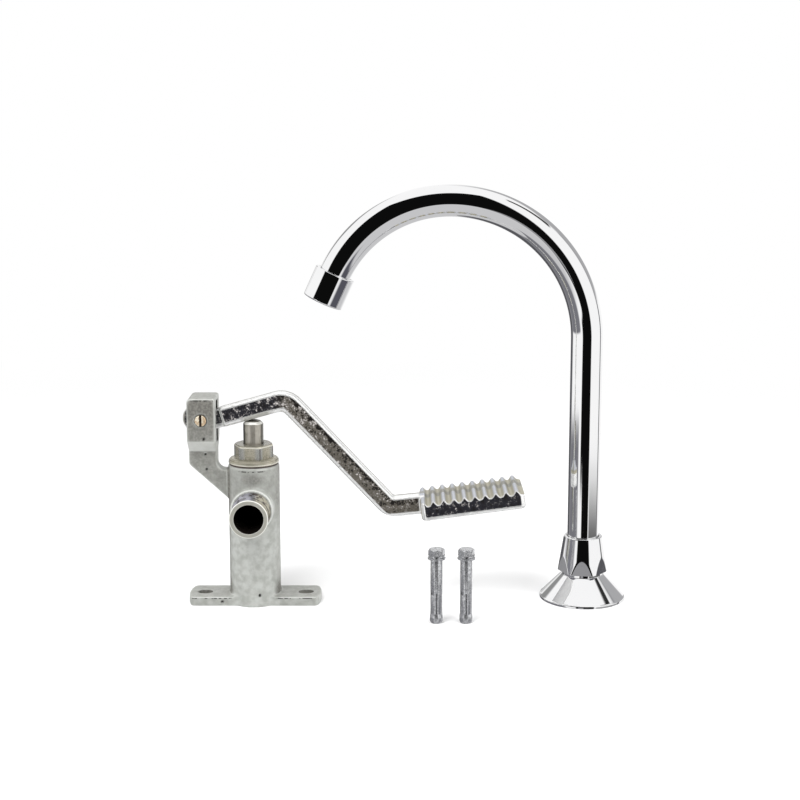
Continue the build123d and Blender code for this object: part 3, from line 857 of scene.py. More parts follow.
def rounded(corners: Sequence[Point], spacing: float = 1.0, steps: int = 7) -> np.ndarray:
    """Closed outline with blended corners.

    A corner P with setback t becomes (1 - s)^2 A + 2 s (1 - s) P + s^2 C for s from 0 to 1,
    where A and C lie t before and after P. Straight runs get evenly spaced points and one more
    close to each end, so that smooth shading stays true along them.

    Args:
        corners: (radius, height, setback) in order.
        spacing: greatest distance between points on a straight run.
        steps: points on a blend.

    Returns:
        Array of (radius, height) rows.
    """
    data = np.array(corners, float)
    points, setback = data[:, :2], data[:, 2:]
    before = np.roll(points, 1, axis=0) - points
    after = np.roll(points, -1, axis=0) - points
    starts = points + before / np.linalg.norm(before, axis=1, keepdims=True) * setback
    ends = points + after / np.linalg.norm(after, axis=1, keepdims=True) * setback
    s = np.linspace(0, 1, steps)[:, None]
    rows: list[np.ndarray] = []
    for start, point, end, following in zip(starts, points, ends, np.roll(starts, -1, axis=0)):
        rows.append((1 - s) ** 2 * start + 2 * s * (1 - s) * point + s**2 * end)
        length = np.linalg.norm(following - end)
        margin = min(END_GAP / max(length, TINY), END_SHARE)
        count = max(2, int(length / spacing) + 1)
        run = np.concatenate([[margin], np.linspace(0, 1, count + 1)[1:-1], [1 - margin]])[:, None]
        rows.append(end * (1 - run) + following * run)
    return np.concatenate(rows)


def revolved(outline: np.ndarray, columns: int = 128, phase: float = 0.0) -> np.ndarray:
    """Outline turned about Z: (r cos a, r sin a, z) for a from 0 to a full turn.

    Args:
        outline: (radius, height) rows.
        columns: points round the turn.
        phase: angle of the first column, in degrees.

    Returns:
        Grid of rows, columns and coordinates.
    """
    angle = 2 * np.pi * np.arange(columns) / columns + math.radians(phase)
    radius, height = outline[:, :1], outline[:, 1:]
    return np.stack([radius * np.cos(angle), radius * np.sin(angle), height + 0 * angle], axis=-1)


def with_flats(
    grid: np.ndarray, flats: float, phase: float, edge: float,
    low: float = -math.inf, high: float = math.inf,
) -> np.ndarray:
    """Six flats cut into a turned grid, all along or between two heights.

    The radius r becomes the soft minimum of r and q = flats / (2 cos a), where a is the angle
    from the middle of the nearest flat: with h = clip(1/2 + (q - r) / 2k, 0, 1) it is
    q (1 - h) + r h - k h (1 - h).

    Args:
        grid: turned grid about Z.
        flats: width across the flats.
        phase: angle of the middle of one flat, in degrees.
        edge: softness k of the edges.
        low: height where the flats start.
        high: height where they end.

    Returns:
        The cut grid.
    """
    x, y, z = np.moveaxis(grid, -1, 0)
    radius = np.hypot(x, y)
    angle = np.arctan2(y, x) - math.radians(phase)
    sector = np.pi / 3
    near = (angle + sector / 2) % sector - sector / 2
    flat = flats / 2 / np.cos(near)
    h = np.clip(0.5 + (flat - radius) / (2 * edge), 0, 1)
    cut = flat * (1 - h) + radius * h - edge * h * (1 - h)
    scale = np.where((z >= low) & (z <= high), cut / np.maximum(radius, TINY), 1.0)
    return np.stack([x * scale, y * scale, z], axis=-1)


@dataclass(frozen=True)
class Place:
    """Where a piece built about Z goes: its origin in millimetres and its axis."""

    origin: Point = (0.0, 0.0, 0.0)
    axis: Point = (0.0, 0.0, 1.0)

    def put(self, grid: np.ndarray) -> np.ndarray:
        """Turn Z to the axis and move to the origin: p = o + x X + y Y + z Z.

        Args:
            grid: coordinates about Z.

        Returns:
            Coordinates in the frame.
        """
        along = np.array(self.axis, float)
        across = np.cross((0.0, 1.0, 0.0), along)
        if np.linalg.norm(across) < PARALLEL:
            across = np.array((1.0, 0.0, 0.0))
        across = across / np.linalg.norm(across)
        third = np.cross(along, across)
        return np.array(self.origin) + grid @ np.stack([across, third, along])


def skin(name: str, grids: Sequence[np.ndarray], sharp: float = SHARP_ANGLE) -> bpy.types.Object:
    """Mesh object of one or more closed grids, each joined in both directions.

    Args:
        name: the object's name.
        grids: grids of rows, columns and coordinates in millimetres.
        sharp: edges above this angle in degrees stay sharp.

    Returns:
        The object, at the origin.
    """
    points: list[np.ndarray] = []
    faces: list[np.ndarray] = []
    first = 0
    for grid in grids:
        rows, columns = grid.shape[:2]
        row = np.arange(rows)[:, None]
        column = np.arange(columns)[None, :]
        next_row, next_column = (row + 1) % rows, (column + 1) % columns
        quads = np.stack([
            row * columns + column,
            row * columns + next_column,
            next_row * columns + next_column,
            next_row * columns + column,
        ], axis=-1)
        faces.append(quads.reshape(-1, 4) + first)
        points.append(grid.reshape(-1, 3) * MM)
        first += rows * columns
    mesh = bpy.data.meshes.new(name)
    mesh.from_pydata(np.concatenate(points), [], np.concatenate(faces))
    close_up(mesh)
    soften(mesh, sharp)
    piece = bpy.data.objects.new(name, mesh)
    bpy.context.scene.collection.objects.link(piece)
    return piece


def close_up(mesh: bpy.types.Mesh) -> None:
    """Merge doubled points, drop faces without area and turn all faces outwards.

    Args:
        mesh: the mesh.
    """
    work = bmesh.new()
    work.from_mesh(mesh)
    bmesh.ops.remove_doubles(work, verts=work.verts, dist=SAME_POINT)
    bmesh.ops.dissolve_degenerate(work, edges=work.edges, dist=NO_LENGTH)
    bmesh.ops.recalc_face_normals(work, faces=work.faces)
    work.to_mesh(mesh)
    work.free()


def soften(mesh: bpy.types.Mesh, sharp: float) -> None:
    """Shade smooth and leave some edges sharp.

    Args:
        mesh: the mesh.
        sharp: edges above this angle in degrees stay sharp.
    """
    mesh.polygons.foreach_set("use_smooth", np.ones(len(mesh.polygons), bool))
    mesh.set_sharp_from_angle(angle=math.radians(sharp))
    mesh.update()


def merged_copy(node: bpy.types.Object, name: str) -> bpy.types.Object:
    """Copy of a frame node with its loose triangles joined.

    Args:
        node: the frame's own object, which stays as it is.
        name: name of the copy.

    Returns:
        The copy, at the origin.
    """
    mesh = node.data.copy()
    mesh.name = name
    if "custom_normal" in mesh.attributes:
        mesh.attributes.remove(mesh.attributes["custom_normal"])
    work = bmesh.new()
    work.from_mesh(mesh)
    bmesh.ops.remove_doubles(work, verts=work.verts, dist=SAME_NODE_POINT)
    for edge in work.edges:
        edge.smooth = True
    work.to_mesh(mesh)
    work.free()
    piece = bpy.data.objects.new(name, mesh)
    bpy.context.scene.collection.objects.link(piece)
    return piece


def baked(piece: bpy.types.Object) -> bpy.types.Object:
    """Apply all modifiers of a piece to its mesh.

    Args:
        piece: the piece.

    Returns:
        The same piece.
    """
    graph = bpy.context.evaluated_depsgraph_get()
    mesh = bpy.data.meshes.new_from_object(piece.evaluated_get(graph))
    piece.modifiers.clear()
    piece.data = mesh
    return piece


def cast_copy(node: bpy.types.Object, name: str, voxel: float, rounds: int) -> bpy.types.Object:
    """Casting made from a frame node: one even skin whose edges and joints are rounded.

    Args:
        node: the frame's own object.
        name: name of the casting.
        voxel: size of the skin's faces in millimetres.
        rounds: smoothing rounds, which set how round the edges get.

    Returns:
        The casting, with its modifiers applied.
    """
    piece = merged_copy(node, name)
    remesh = piece.modifiers.new("skin", "REMESH")
    remesh.mode = "VOXEL"
    remesh.voxel_size = voxel * MM
    smooth = piece.modifiers.new("round", "SMOOTH")
    smooth.factor = SMOOTHING
    smooth.iterations = rounds
    baked(piece)
    piece.data.polygons.foreach_set("use_smooth", np.ones(len(piece.data.polygons), bool))
    return piece


def vertex_points(mesh: bpy.types.Mesh) -> np.ndarray:
    """Read where the vertices of a mesh are.

    Args:
        mesh: the mesh.

    Returns:
        Their coordinates in millimetres, in rows.
    """
    flat = np.empty(len(mesh.vertices) * 3)
    mesh.vertices.foreach_get("co", flat)
    return flat.reshape(-1, 3) / MM


def vertex_directions(mesh: bpy.types.Mesh) -> np.ndarray:
    """Read which way the vertices of a mesh face.

    Args:
        mesh: the mesh.

    Returns:
        Their unit normals, in rows.
    """
    flat = np.empty(len(mesh.vertices) * 3)
    mesh.vertex_normals.foreach_get("vector", flat)
    return flat.reshape(-1, 3)


def ramp(values: np.ndarray, start: float, end: float) -> np.ndarray:
    """Smooth step t^2 (3 - 2 t) with t from 0 at start to 1 at end; start may be the greater."""
    t = np.clip((values - start) / (end - start), 0, 1)
    return t * t * (3 - 2 * t)


@dataclass(frozen=True)
class Fade:
    """A smooth step of a mask: 0 at start and its full strength at end."""

    start: float
    end: float
    strength: float = 1.0

    def of(self, values: np.ndarray) -> np.ndarray:
        """Share of each value."""
        return self.strength * ramp(values, self.start, self.end)


def write_mask(mesh: bpy.types.Mesh, name: str, values: np.ndarray) -> None:
    """Write a vertex attribute that the finishes read by name."""
    layer = mesh.attributes.new(name, "FLOAT", "POINT")
    layer.data.foreach_set("value", np.asarray(values, np.float32))


def outer_edges(
    mesh: bpy.types.Mesh, rounds: int = 3, low: float = 0.03, high: float = 0.16,
) -> np.ndarray:
    """Share of 1 on outer edges and 0 on flats and in hollows, for each vertex.

    For a vertex p with neighbours' mean m, normal n and mean edge length l, how much it stands
    out is (p - m) . n / l, averaged over a few rounds of neighbours.

    Args:
        mesh: the mesh.
        rounds: rounds of averaging.
        low: value that counts as flat.
        high: value that counts as a full edge.

    Returns:
        The shares.
    """
    points = vertex_points(mesh)
    ends = np.empty(len(mesh.edges) * 2, np.int32)
    mesh.edges.foreach_get("vertices", ends)
    ends = ends.reshape(-1, 2)
    first = np.concatenate([ends[:, 0], ends[:, 1]])
    second = np.concatenate([ends[:, 1], ends[:, 0]])
    count = np.maximum(np.bincount(first, minlength=len(points)), 1)

    def mean(values: np.ndarray) -> np.ndarray:
        """Mean of a value over each vertex's neighbours."""
        return np.bincount(first, values[second], minlength=len(points)) / count

    means = np.stack([mean(points[:, axis]) for axis in range(3)], axis=1)
    length = np.linalg.norm(points[ends[:, 0]] - points[ends[:, 1]], axis=1).mean()
    value = ((points - means) * vertex_directions(mesh)).sum(axis=1) / length
    for _ in range(rounds):
        value = 0.5 * value + 0.5 * mean(value)
    return np.clip((value - low) / (high - low), 0, 1)


def dimple(mesh: bpy.types.Mesh, centre: Point, radius: float, depth: float) -> np.ndarray:
    """Press a small pit: points move inwards by depth (1 - (d / radius)^2)^2 within the radius.

    Args:
        mesh: the mesh.
        centre: centre of the pit in millimetres.
        radius: its radius.
        depth: its depth.

    Returns:
        How deep each vertex lies in the pit, from 0 to 1.
    """
    points = vertex_points(mesh)
    distance = np.linalg.norm(points - np.array(centre), axis=1) / radius
    share = np.clip(1 - distance**2, 0, None) ** 2
    moved = (points - vertex_directions(mesh) * depth * share[:, None]) * MM
    mesh.vertices.foreach_set("co", moved.ravel())
    mesh.update()
    return share


def bevelled_copy(node: bpy.types.Object, name: str, width: float) -> bpy.types.Object:
    """Copy of a frame node with its sharp edges rounded.

    Args:
        node: the frame's own object.
        name: name of the copy.
        width: width of the rounding in millimetres.

    Returns:
        The copy, with its modifiers applied.
    """
    piece = merged_copy(node, name)
    bevel = piece.modifiers.new("edges", "BEVEL")
    bevel.width = width * MM
    bevel.segments = BEVEL_SEGMENTS
    bevel.limit_method = "ANGLE"
    bevel.angle_limit = math.radians(SHARP_ANGLE)
    bevel.harden_normals = False
    baked(piece)
    soften(piece.data, SHARP_ANGLE)
    return piece


@dataclass(frozen=True)
class Assembly:
    """Base of the sub-assemblies: the frame's nodes, the shelf of finishes and its own body."""

    nodes: dict[str, bpy.types.Object]
    shelf: FinishShelf
    body: Body = Body.FIXED

    def fit(
        self, piece: bpy.types.Object, finish: Finish, node: str, body: Optional[Body] = None,
    ) -> None:
        """Dress a new piece, let it ride and let it stand for its frame node.

        Args:
            piece: the new piece.
            finish: its finish.
            node: the frame node that it replaces.
            body: the body that it rides on, or None for the assembly's own.
        """
        self.shelf.dress(piece, finish)
        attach(piece, (body or self.body).value)
        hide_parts(node)
        log.info("%s replaces %s, %d faces", piece.name, node, len(piece.data.polygons))

    def keep(self, node: str, finish: Finish) -> None:
        """Give a frame node a finish and leave its shape.

        Args:
            node: name of the node.
            finish: its finish.
        """
        self.shelf.dress(self.nodes[node], finish)
        log.info("%s keeps its shape", node)


# Valve


@dataclass(frozen=True)
class Nipple:
    """A threaded nipple: its side and height on the barrel, and its turned shape."""

    name: str
    side: float
    height: float
    root: float = 13.5
    face: float = 21.0
    reach: float = 43.0
    root_radius: float = 12.0
    radius: float = 13.22
    bore: float = 10.05
    thread_start: float = 23.2
    thread_end: float = 42.0
    pitch: float = 1.814
    depth: float = 1.0
    fullness: float = 0.8
    columns: int = 96
    cut_face: Fade = Fade(-0.75, -0.45)
    # bore_wall: painted shade in the bore; the rim fields: painted highlight on the cut end's rims
    bore_wall: Fade = Fade(0.3, 0.02)
    outer_rim: Fade = Fade(12.5, 12.8)
    inner_rim: Fade = Fade(10.6, 10.3, 0.7)
    rim_face: Fade = Fade(-0.8, -0.5)

    def grid(self) -> np.ndarray:
        """Turned nipple with a thread.

        The outer radius is R - d f w^k with w = 1/2 - 1/2 cos(2 pi (z / pitch - a / 2 pi)), where
        f rises from 0 to 1 and falls back at the ends of the thread and k is its fullness.

        Returns:
            Grid about Z.
        """
        outline = rounded([
            (self.bore, self.root, 0.2),
            (self.root_radius, self.root, 0.2),
            (self.root_radius, self.face, 0.05),
            (self.radius, self.face, 0.3),
            (self.radius, self.reach, 0.8),
            (self.bore, self.reach, 0.5),
        ], spacing=0.26)
        grid = revolved(outline, self.columns)
        x, y, z = np.moveaxis(grid, -1, 0)
        radius = np.hypot(x, y)
        turn = np.arctan2(y, x) / (2 * np.pi)
        wave = 0.5 - 0.5 * np.cos(2 * np.pi * (z / self.pitch - turn))
        fade = np.clip(z - self.thread_start, 0, 1) * np.clip(self.thread_end - z, 0, 1)
        outer = radius > self.radius - TINY
        scale = 1 - np.where(outer, self.depth * fade * wave**self.fullness, 0) / radius
        return np.stack([x * scale, y * scale, z], axis=-1)

    def piece(self) -> bpy.types.Object:
        """Make the nipple and write "cut" on its end, "rim" for the painted highlight on its rims and
        "inside" for the painted shade in its bore.

        Returns:
            The piece, in its place.
        """
        place = Place((0.0, 0.0, self.height), (0.0, self.side, 0.0))
        piece = skin(f"{self.name}_thread", [place.put(self.grid())])
        x, y, z = vertex_points(piece.data).T
        radius = np.hypot(x, z - self.height)
        past_end = self.side * y - self.reach
        write_mask(piece.data, "cut", self.cut_face.of(past_end))
        write_mask(piece.data, "inside", self.bore_wall.of(radius - self.bore))
        rims = np.maximum(self.outer_rim.of(radius), self.inner_rim.of(radius))
        write_mask(piece.data, "rim", rims * self.rim_face.of(past_end))
        return piece


OUTLET = Nipple("outlet", -1.0, 70.0)
INLET = Nipple("inlet", 1.0, 28.0)


@dataclass(frozen=True)
class Pit:
    """A small casting pit."""

    centre: Point
    radius: float
    depth: float = 1.0
    # dark: painted shade in the pit, growing with its depth
    dark: Fade = Fade(0.1, 0.5)


@dataclass(frozen=True)
class BodyCasting(Assembly):
    """The valve's cast body: foot plate, barrel, boss, bracket and clevis.

    Sizes come first, then where painted shade darkens it and where wear and painted highlights
    brighten it, and how strongly.
    """

    voxel: float = 0.75
    rounds: int = 4
    barrel_radius: float = 17.8
    chamber_top: float = 98.5
    boss_radius: float = 15.0
    foot_height: float = 6.3
    slot_half: float = 4.6
    slot_reach: Span = (29.8, 41.2)
    window_reach: Span = (114.6, 143.8)
    chamber: Fade = Fade(14.0, 13.2)
    water_way: Fade = Fade(12.6, 12.0)
    window: Fade = Fade(5.0, 4.4)
    pits: tuple[Pit, ...] = (
        Pit((-32.9, -13.3, 118.8), 1.5), Pit((-32.9, -5.5, 106.5), 1.5), Pit((-32.3, -5.5, 95.9), 1.6),
        Pit((4.4, -17.2, 8.6), 1.5), Pit((-22.2, -13.7, 3.0), 1.4), Pit((-24.4, -13.3, 124.0), 1.3),
    )
    # painted shade on the front and back of arm and clevis, darker with height
    arm_gap: float = 0.8
    arm_low: float = 60.0
    arm_faces: Fade = Fade(0.82, 0.96)
    arm_heights: tuple[float, ...] = (80, 100, 118, 134)
    arm_shades: tuple[float, ...] = (0.58, 0.7, 0.8, 1.0)
    barrel_skin: float = 0.9
    barrel_low: float = 7.5
    # painted shade on the barrel's flanks and in the crease where it meets the foot plate
    left_flank: Fade = Fade(15.6, 16.9)
    left_flank_least: float = 0.45
    left_flank_rise: Fade = Fade(40, 60, 0.4)
    right_flank: Fade = Fade(15.0, 17.6, 0.3)
    crease: Fade = Fade(13.5, 16.5, 0.75)
    crease_top: Fade = Fade(24, 9)
    # the barrel darkens above the outlet and in a patch over its boss
    upper: Fade = Fade(52, 72, 0.42)
    patch_centre: Span = (1, 91)
    patch_size: Span = (9, 5)
    patch_shade: float = 0.35
    # painted shade on tops, on the foot plate's front and in the slots
    level: Fade = Fade(0.6, 0.9)
    clevis_low: float = 100.0
    clevis_top_shade: float = 0.6
    foot_top_shade: float = 0.45
    foot_zone: float = 8.0
    foot_facing: float = 0.8
    foot_front_shade: float = 0.2
    slot_shade: float = 0.9
    slot_rim: float = 0.4
    boss_rim: float = 1.1
    # the boss face round the outlet nipple darkens too
    boss_joint_shade: float = 0.6
    # painted highlights on the boss rim, the bevel below the clevis and the foot plate's front lip
    boss_ring: Fade = Fade(19.4, 20.2, 0.85)
    bevel_reach: Span = (107.5, 118.5)
    bevel: Fade = Fade(0.2, 0.45, 0.6)
    bevel_facing: float = 0.4
    lip: Fade = Fade(12.6, 13.2, 0.8)
    lip_low: Fade = Fade(0.3, 0.5)
    lip_high: Fade = Fade(0.95, 0.85)
    # share of the outer edges' brightening, partly wear and partly painted highlight
    edge_share: float = 0.5

    def build(self) -> None:
        """Make the casting with rounded edges, soft joints and a few pits, and dress it."""
        piece = cast_copy(self.nodes["valve_body"], "body_casting", self.voxel, self.rounds)
        pressed = [pit.dark.of(dimple(piece.data, pit.centre, pit.radius, pit.depth)) for pit in self.pits]
        self.mark_hollows(piece.data, pressed)
        self.mark_shade(piece.data)
        self.mark_edges(piece.data)
        self.fit(piece, SatinCast(), "valve_body")

    def mark_hollows(self, mesh: bpy.types.Mesh, pits: Sequence[np.ndarray]) -> None:
        """Write "hollow", painted shade: 1 in the chamber, the two bores, the clevis window and the pits.

        Args:
            mesh: the casting's mesh.
            pits: share of each pit, vertex by vertex.
        """
        x, y, z = vertex_points(mesh).T
        chamber = self.chamber.of(np.hypot(x, y)) * (z < self.chamber_top)
        ways = [
            self.water_way.of(np.hypot(x, z - nipple.height)) * (nipple.side * y > 0)
            for nipple in (OUTLET, INLET)
        ]
        low, high = self.window_reach
        window = self.window.of(np.abs(y)) * (z > low) * (z < high) * (x < -self.barrel_radius)
        write_mask(mesh, "hollow", np.max([chamber, *ways, window, *pits], axis=0))

    def mark_shade(self, mesh: bpy.types.Mesh) -> None:
        """Write "shade", which darkens the arm, the clevis, tops, slots and parts of the barrel.

        Painted shade darkens the front and back of arm and clevis with height, along straight lines
        between the given heights. The barrel darkens above the outlet, with a patch just over its boss,
        and painted shade darkens its two flanks and where it meets the foot plate. Painted shade makes
        tops darker than sides, and the slots darkest.

        Args:
            mesh: the casting's mesh.
        """
        x, y, z = vertex_points(mesh).T
        aside = np.abs(x)
        normal_y, normal_z = vertex_directions(mesh)[:, 1:].T
        arm = (x < -self.barrel_radius - self.arm_gap) * (z > self.arm_low)
        painted_shade = np.interp(z, self.arm_heights, self.arm_shades) * self.arm_faces.of(np.abs(normal_y)) * arm
        flanks = self.left_flank.of(-x) * (self.left_flank_least + self.left_flank_rise.of(z))
        flanks = flanks + self.right_flank.of(x)
        across = (x - self.patch_centre[0]) / self.patch_size[0]
        up = (z - self.patch_centre[1]) / self.patch_size[1]
        patch = self.patch_shade * np.clip(1 - across**2 - up**2, 0, 1)
        tones = flanks + self.crease.of(aside) * self.crease_top.of(z) + self.upper.of(z) + patch
        barrel = (np.abs(np.hypot(x, y) - self.barrel_radius) < self.barrel_skin) & (z > self.barrel_low)
        top_shade = np.where(z > self.clevis_low, self.clevis_top_shade, self.foot_top_shade)
        top = self.level.of(normal_z) * top_shade
        foot = (z < self.foot_zone) * (aside > self.barrel_radius)
        front = self.foot_front_shade * foot * (normal_y < -self.foot_facing)
        inner, outer = self.slot_reach
        slots = foot * (np.abs(y) < self.slot_half) * (aside > inner) * (aside < outer)
        slots = self.slot_shade * slots * (z < self.foot_height - self.slot_rim)
        boss = np.hypot(x, z - OUTLET.height) * (y < -self.barrel_radius)
        joint = self.boss_joint_shade * (boss > 0) * (boss < self.boss_radius - self.boss_rim)
        sides = barrel * np.clip(tones, 0, 1)
        write_mask(mesh, "shade", np.max([painted_shade, sides, top, front, slots, joint], axis=0))

    def mark_edges(self, mesh: bpy.types.Mesh) -> None:
        """Write "edge", which brightens the outer edges, partly as wear and partly as painted highlight.

        The bevel below the clevis, the rim of the outlet's boss and the front top edge of the foot plate
        get a painted highlight too.

        Args:
            mesh: the casting's mesh.
        """
        x, y, z = vertex_points(mesh).T
        normal_y, normal_z = vertex_directions(mesh)[:, 1:].T
        low, high = self.bevel_reach
        arm = (x < -self.barrel_radius - self.arm_gap) * (z > low) * (z < high)
        bevel = self.bevel.of(-normal_z) * (np.abs(normal_y) > self.bevel_facing) * arm
        boss = np.hypot(x, z - OUTLET.height) * (y < -self.barrel_radius)
        ring = (boss > self.boss_radius - self.boss_rim) * self.boss_ring.of(-y)
        foot = (z < self.foot_zone) * (np.abs(x) > self.barrel_radius)
        lip = foot * self.lip.of(-y) * self.lip_low.of(normal_z) * self.lip_high.of(normal_z)
        write_mask(mesh, "edge", np.max([self.edge_share * outer_edges(mesh), bevel, ring, lip], axis=0))


@dataclass(frozen=True)
class GlandNut(Assembly):
    """Gland nut: round-shouldered flange and a hexagon with a chamfered crown."""

    flats: float = 24.0
    flats_soft: float = 0.2
    turn: float = -7.5
    columns: int = 192
    bottom: float = 84.0
    flange_low: float = 100.0
    shoulder: float = 103.4
    top: float = 113.4
    thread_radius: float = 13.2
    flange_radius: float = 17.5
    bore: float = 7.05
    corner_room: float = 0.2
    chamfer_width: float = 1.3
    chamfer_height: float = 1.5
    facet_gap: float = 0.4
    flange_reach: Span = (-0.1, 0.3)
    # painted reflection: a dark strip beside each edge of the hexagon; painted shade on the nut's left and
    # right sides
    edge_start: Fade = Fade(-1.0, 0.5, 0.8)
    edge_end: Fade = Fade(5.0, 3.0)
    left_edge_share: float = 0.35
    outline_edge: Fade = Fade(13.0, 13.5, 0.8)
    # bluish painted reflection beside the edges of the facets
    facet_middle: Fade = Fade(18.0, 6.0, 0.85)
    # painted shade on the flange, apart from two lighter places
    flange_shade: float = 0.5
    flange_gap: Fade = Fade(8.0, 13.0)
    flange_gap_end: float = 15.5
    # painted highlights on the line under the flange and on the chamfer
    line_start: Fade = Fade(0.2, 0.5, 0.8)
    line_end: Fade = Fade(1.3, 0.9)
    chamfer_start: Fade = Fade(-1.8, -1.5, 0.85)
    chamfer_end: Fade = Fade(-0.5, -0.9)
    chamfer_radius: float = 11.0
    # painted shade on the top
    crown: Fade = Fade(-0.5, -0.2, 0.6)
    # accents: cool a painted reflection, flange and crown painted shade, groove a painted reflection and
    # painted shade, edge painted highlights
    finish: TurnedMetal = TurnedMetal(
        "nickel_gland", Slot.NICKEL, (0.41, 0.385, 0.31), (0.30, 0.28, 0.21), metallic=0.4, gloss=(0.2, 0.34),
        accents=(
            ("cool", (0.36, 0.365, 0.355)), ("flange", (0.20, 0.19, 0.15)), ("crown", (0.12, 0.115, 0.10)),
            ("groove", (0.08, 0.075, 0.065)), ("edge", (0.80, 0.78, 0.68))))

    def build(self) -> None:
        """Make and dress the nut."""
        corner = self.flats / math.sqrt(3)
        outline = rounded([
            (self.bore, self.bottom, 0.2),
            (self.thread_radius, self.bottom, 0.6),
            (self.thread_radius, self.flange_low, 0.1),
            (self.flange_radius, self.flange_low, 0.4),
            (self.flange_radius, self.shoulder, 2.8),
            (corner + self.corner_room, self.shoulder, 0.05),
            (corner + self.corner_room, self.top - self.chamfer_height, 0.35),
            (corner - self.chamfer_width, self.top, 0.45),
            (self.bore, self.top, 0.4),
        ], spacing=0.6)
        grid = revolved(outline, self.columns, self.turn)
        low = self.shoulder + 0.02
        grid = with_flats(grid, self.flats, self.turn + 30, self.flats_soft, low, self.top)
        piece = skin("gland_hexagon", [grid])
        self.mark(piece.data)
        self.fit(piece, self.finish, "gland_nut")

    def mark(self, mesh: bpy.types.Mesh) -> None:
        """Write the painted light and shade of the nut.

        "groove" is a painted reflection, a dark strip beside each edge of the hexagon, and painted shade
        on the nut's left and right sides. "cool" is a bluish painted reflection beside the edges of each
        facet, "flange" painted shade on the flange apart from two lighter places, "edge" a painted
        highlight on the line under the flange and on the chamfer, and "crown" painted shade on the top.

        Args:
            mesh: the nut's mesh.
        """
        x, y, z = vertex_points(mesh).T
        beyond = (np.degrees(np.arctan2(y, x)) - self.turn + 30) % 60 - 30
        facet = (z > self.shoulder + self.facet_gap) & (z < self.top - self.chamfer_height)
        strength = np.where(x < 0, self.left_edge_share, 1.0)
        strip = self.edge_start.of(beyond) * self.edge_end.of(beyond) * strength
        write_mask(mesh, "groove", np.maximum(strip, self.outline_edge.of(np.abs(x))) * facet)
        write_mask(mesh, "cool", self.facet_middle.of(np.abs(beyond)) * facet)
        low, high = self.flange_reach
        flange = (z > self.flange_low + low) & (z < self.shoulder + high)
        gap = self.flange_gap.of(np.abs(x)) * (np.abs(x) < self.flange_gap_end)
        write_mask(mesh, "flange", self.flange_shade * flange * (1 - gap))
        line = self.line_start.of(z - self.flange_low) * self.line_end.of(z - self.flange_low)
        chamfer = self.chamfer_start.of(z - self.top) * self.chamfer_end.of(z - self.top)
        chamfer = chamfer * (np.hypot(x, y) > self.chamfer_radius)
        write_mask(mesh, "edge", np.maximum(line * flange, chamfer))
        write_mask(mesh, "crown", self.crown.of(z - self.top))


@dataclass(frozen=True)
class PushRod(Assembly):
    """The plunger: a push rod with a domed, chamfered head and two ring grooves."""

    body: Body = Body.PLUNGER
    radius: float = 7.0
    groove_radius: float = 5.2
    grooves: tuple[Span, ...] = ((9.1, 10.9), (14.1, 15.9))
    dome_radius: float = 12.0
    dome_edge: float = 5.6
    dome_chamfer: float = 1.5
    dome_depth: float = 2.0
    edge_soft: float = 0.3
    edge_margin: float = 0.1
    columns: int = 96
    # painted shade on the left and right flanks and on the dome
    left_side: Fade = Fade(4.9, 5.8)
    right_side: Fade = Fade(5.2, 6.2, 0.85)
    dome_shade: float = 0.75
    # accents: side is painted shade, edge a painted highlight on the chamfer
    finish: TurnedMetal = TurnedMetal(
        "nickel_rod", Slot.NICKEL, (0.44, 0.415, 0.365), (0.33, 0.31, 0.26), metallic=0.6, gloss=(0.14, 0.26),
        accents=(("side", (0.06, 0.057, 0.05)), ("edge", (0.85, 0.84, 0.80))))

    def build(self) -> None:
        """Make the rod with a dome z = top - R + sqrt(R^2 - r^2), mark it and dress it.

        "side" is painted shade on its flanks and the dome, and "edge" a painted highlight on the chamfer.
        """
        low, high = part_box("plunger")
        bottom, top = low.z / MM, high.z / MM
        dome_low = top - self.dome_radius + math.sqrt(self.dome_radius**2 - self.dome_edge**2)
        chamfer_low = dome_low - self.dome_chamfer
        rows = [(0.0, bottom, 0.0), (self.radius, bottom, self.edge_soft)]
        for start, end in self.grooves:
            rows.append((self.radius, bottom + start, 0.05))
            rows.append((self.groove_radius, bottom + start, 0.05))
            rows.append((self.groove_radius, bottom + end, 0.05))
            rows.append((self.radius, bottom + end, 0.05))
        rows.append((self.radius, chamfer_low, self.edge_soft))
        rows.append((self.dome_edge, dome_low, self.edge_soft))
        rows.append((0.0, top, 0.0))
        outline = rounded(rows)
        reach = np.sqrt(np.clip(self.dome_radius**2 - outline[:, 0] ** 2, 0, None))
        inner, upper = self.dome_edge - self.edge_soft, top - self.dome_depth
        on_dome = (outline[:, 0] < inner) & (outline[:, 1] > upper)
        outline[:, 1] = np.where(on_dome, top - self.dome_radius + reach, outline[:, 1])
        piece = skin("push_rod", [revolved(outline, self.columns)])
        x, _, z = vertex_points(piece.data).T
        flanks = np.maximum(self.left_side.of(-x), self.right_side.of(x))
        dome = self.dome_shade * (z > dome_low + self.edge_margin)
        write_mask(piece.data, "side", np.maximum(flanks, dome))
        chamfer = (z > chamfer_low - self.edge_margin) & (z < dome_low + self.edge_margin)
        write_mask(piece.data, "edge", chamfer)
        self.fit(piece, self.finish, "plunger")


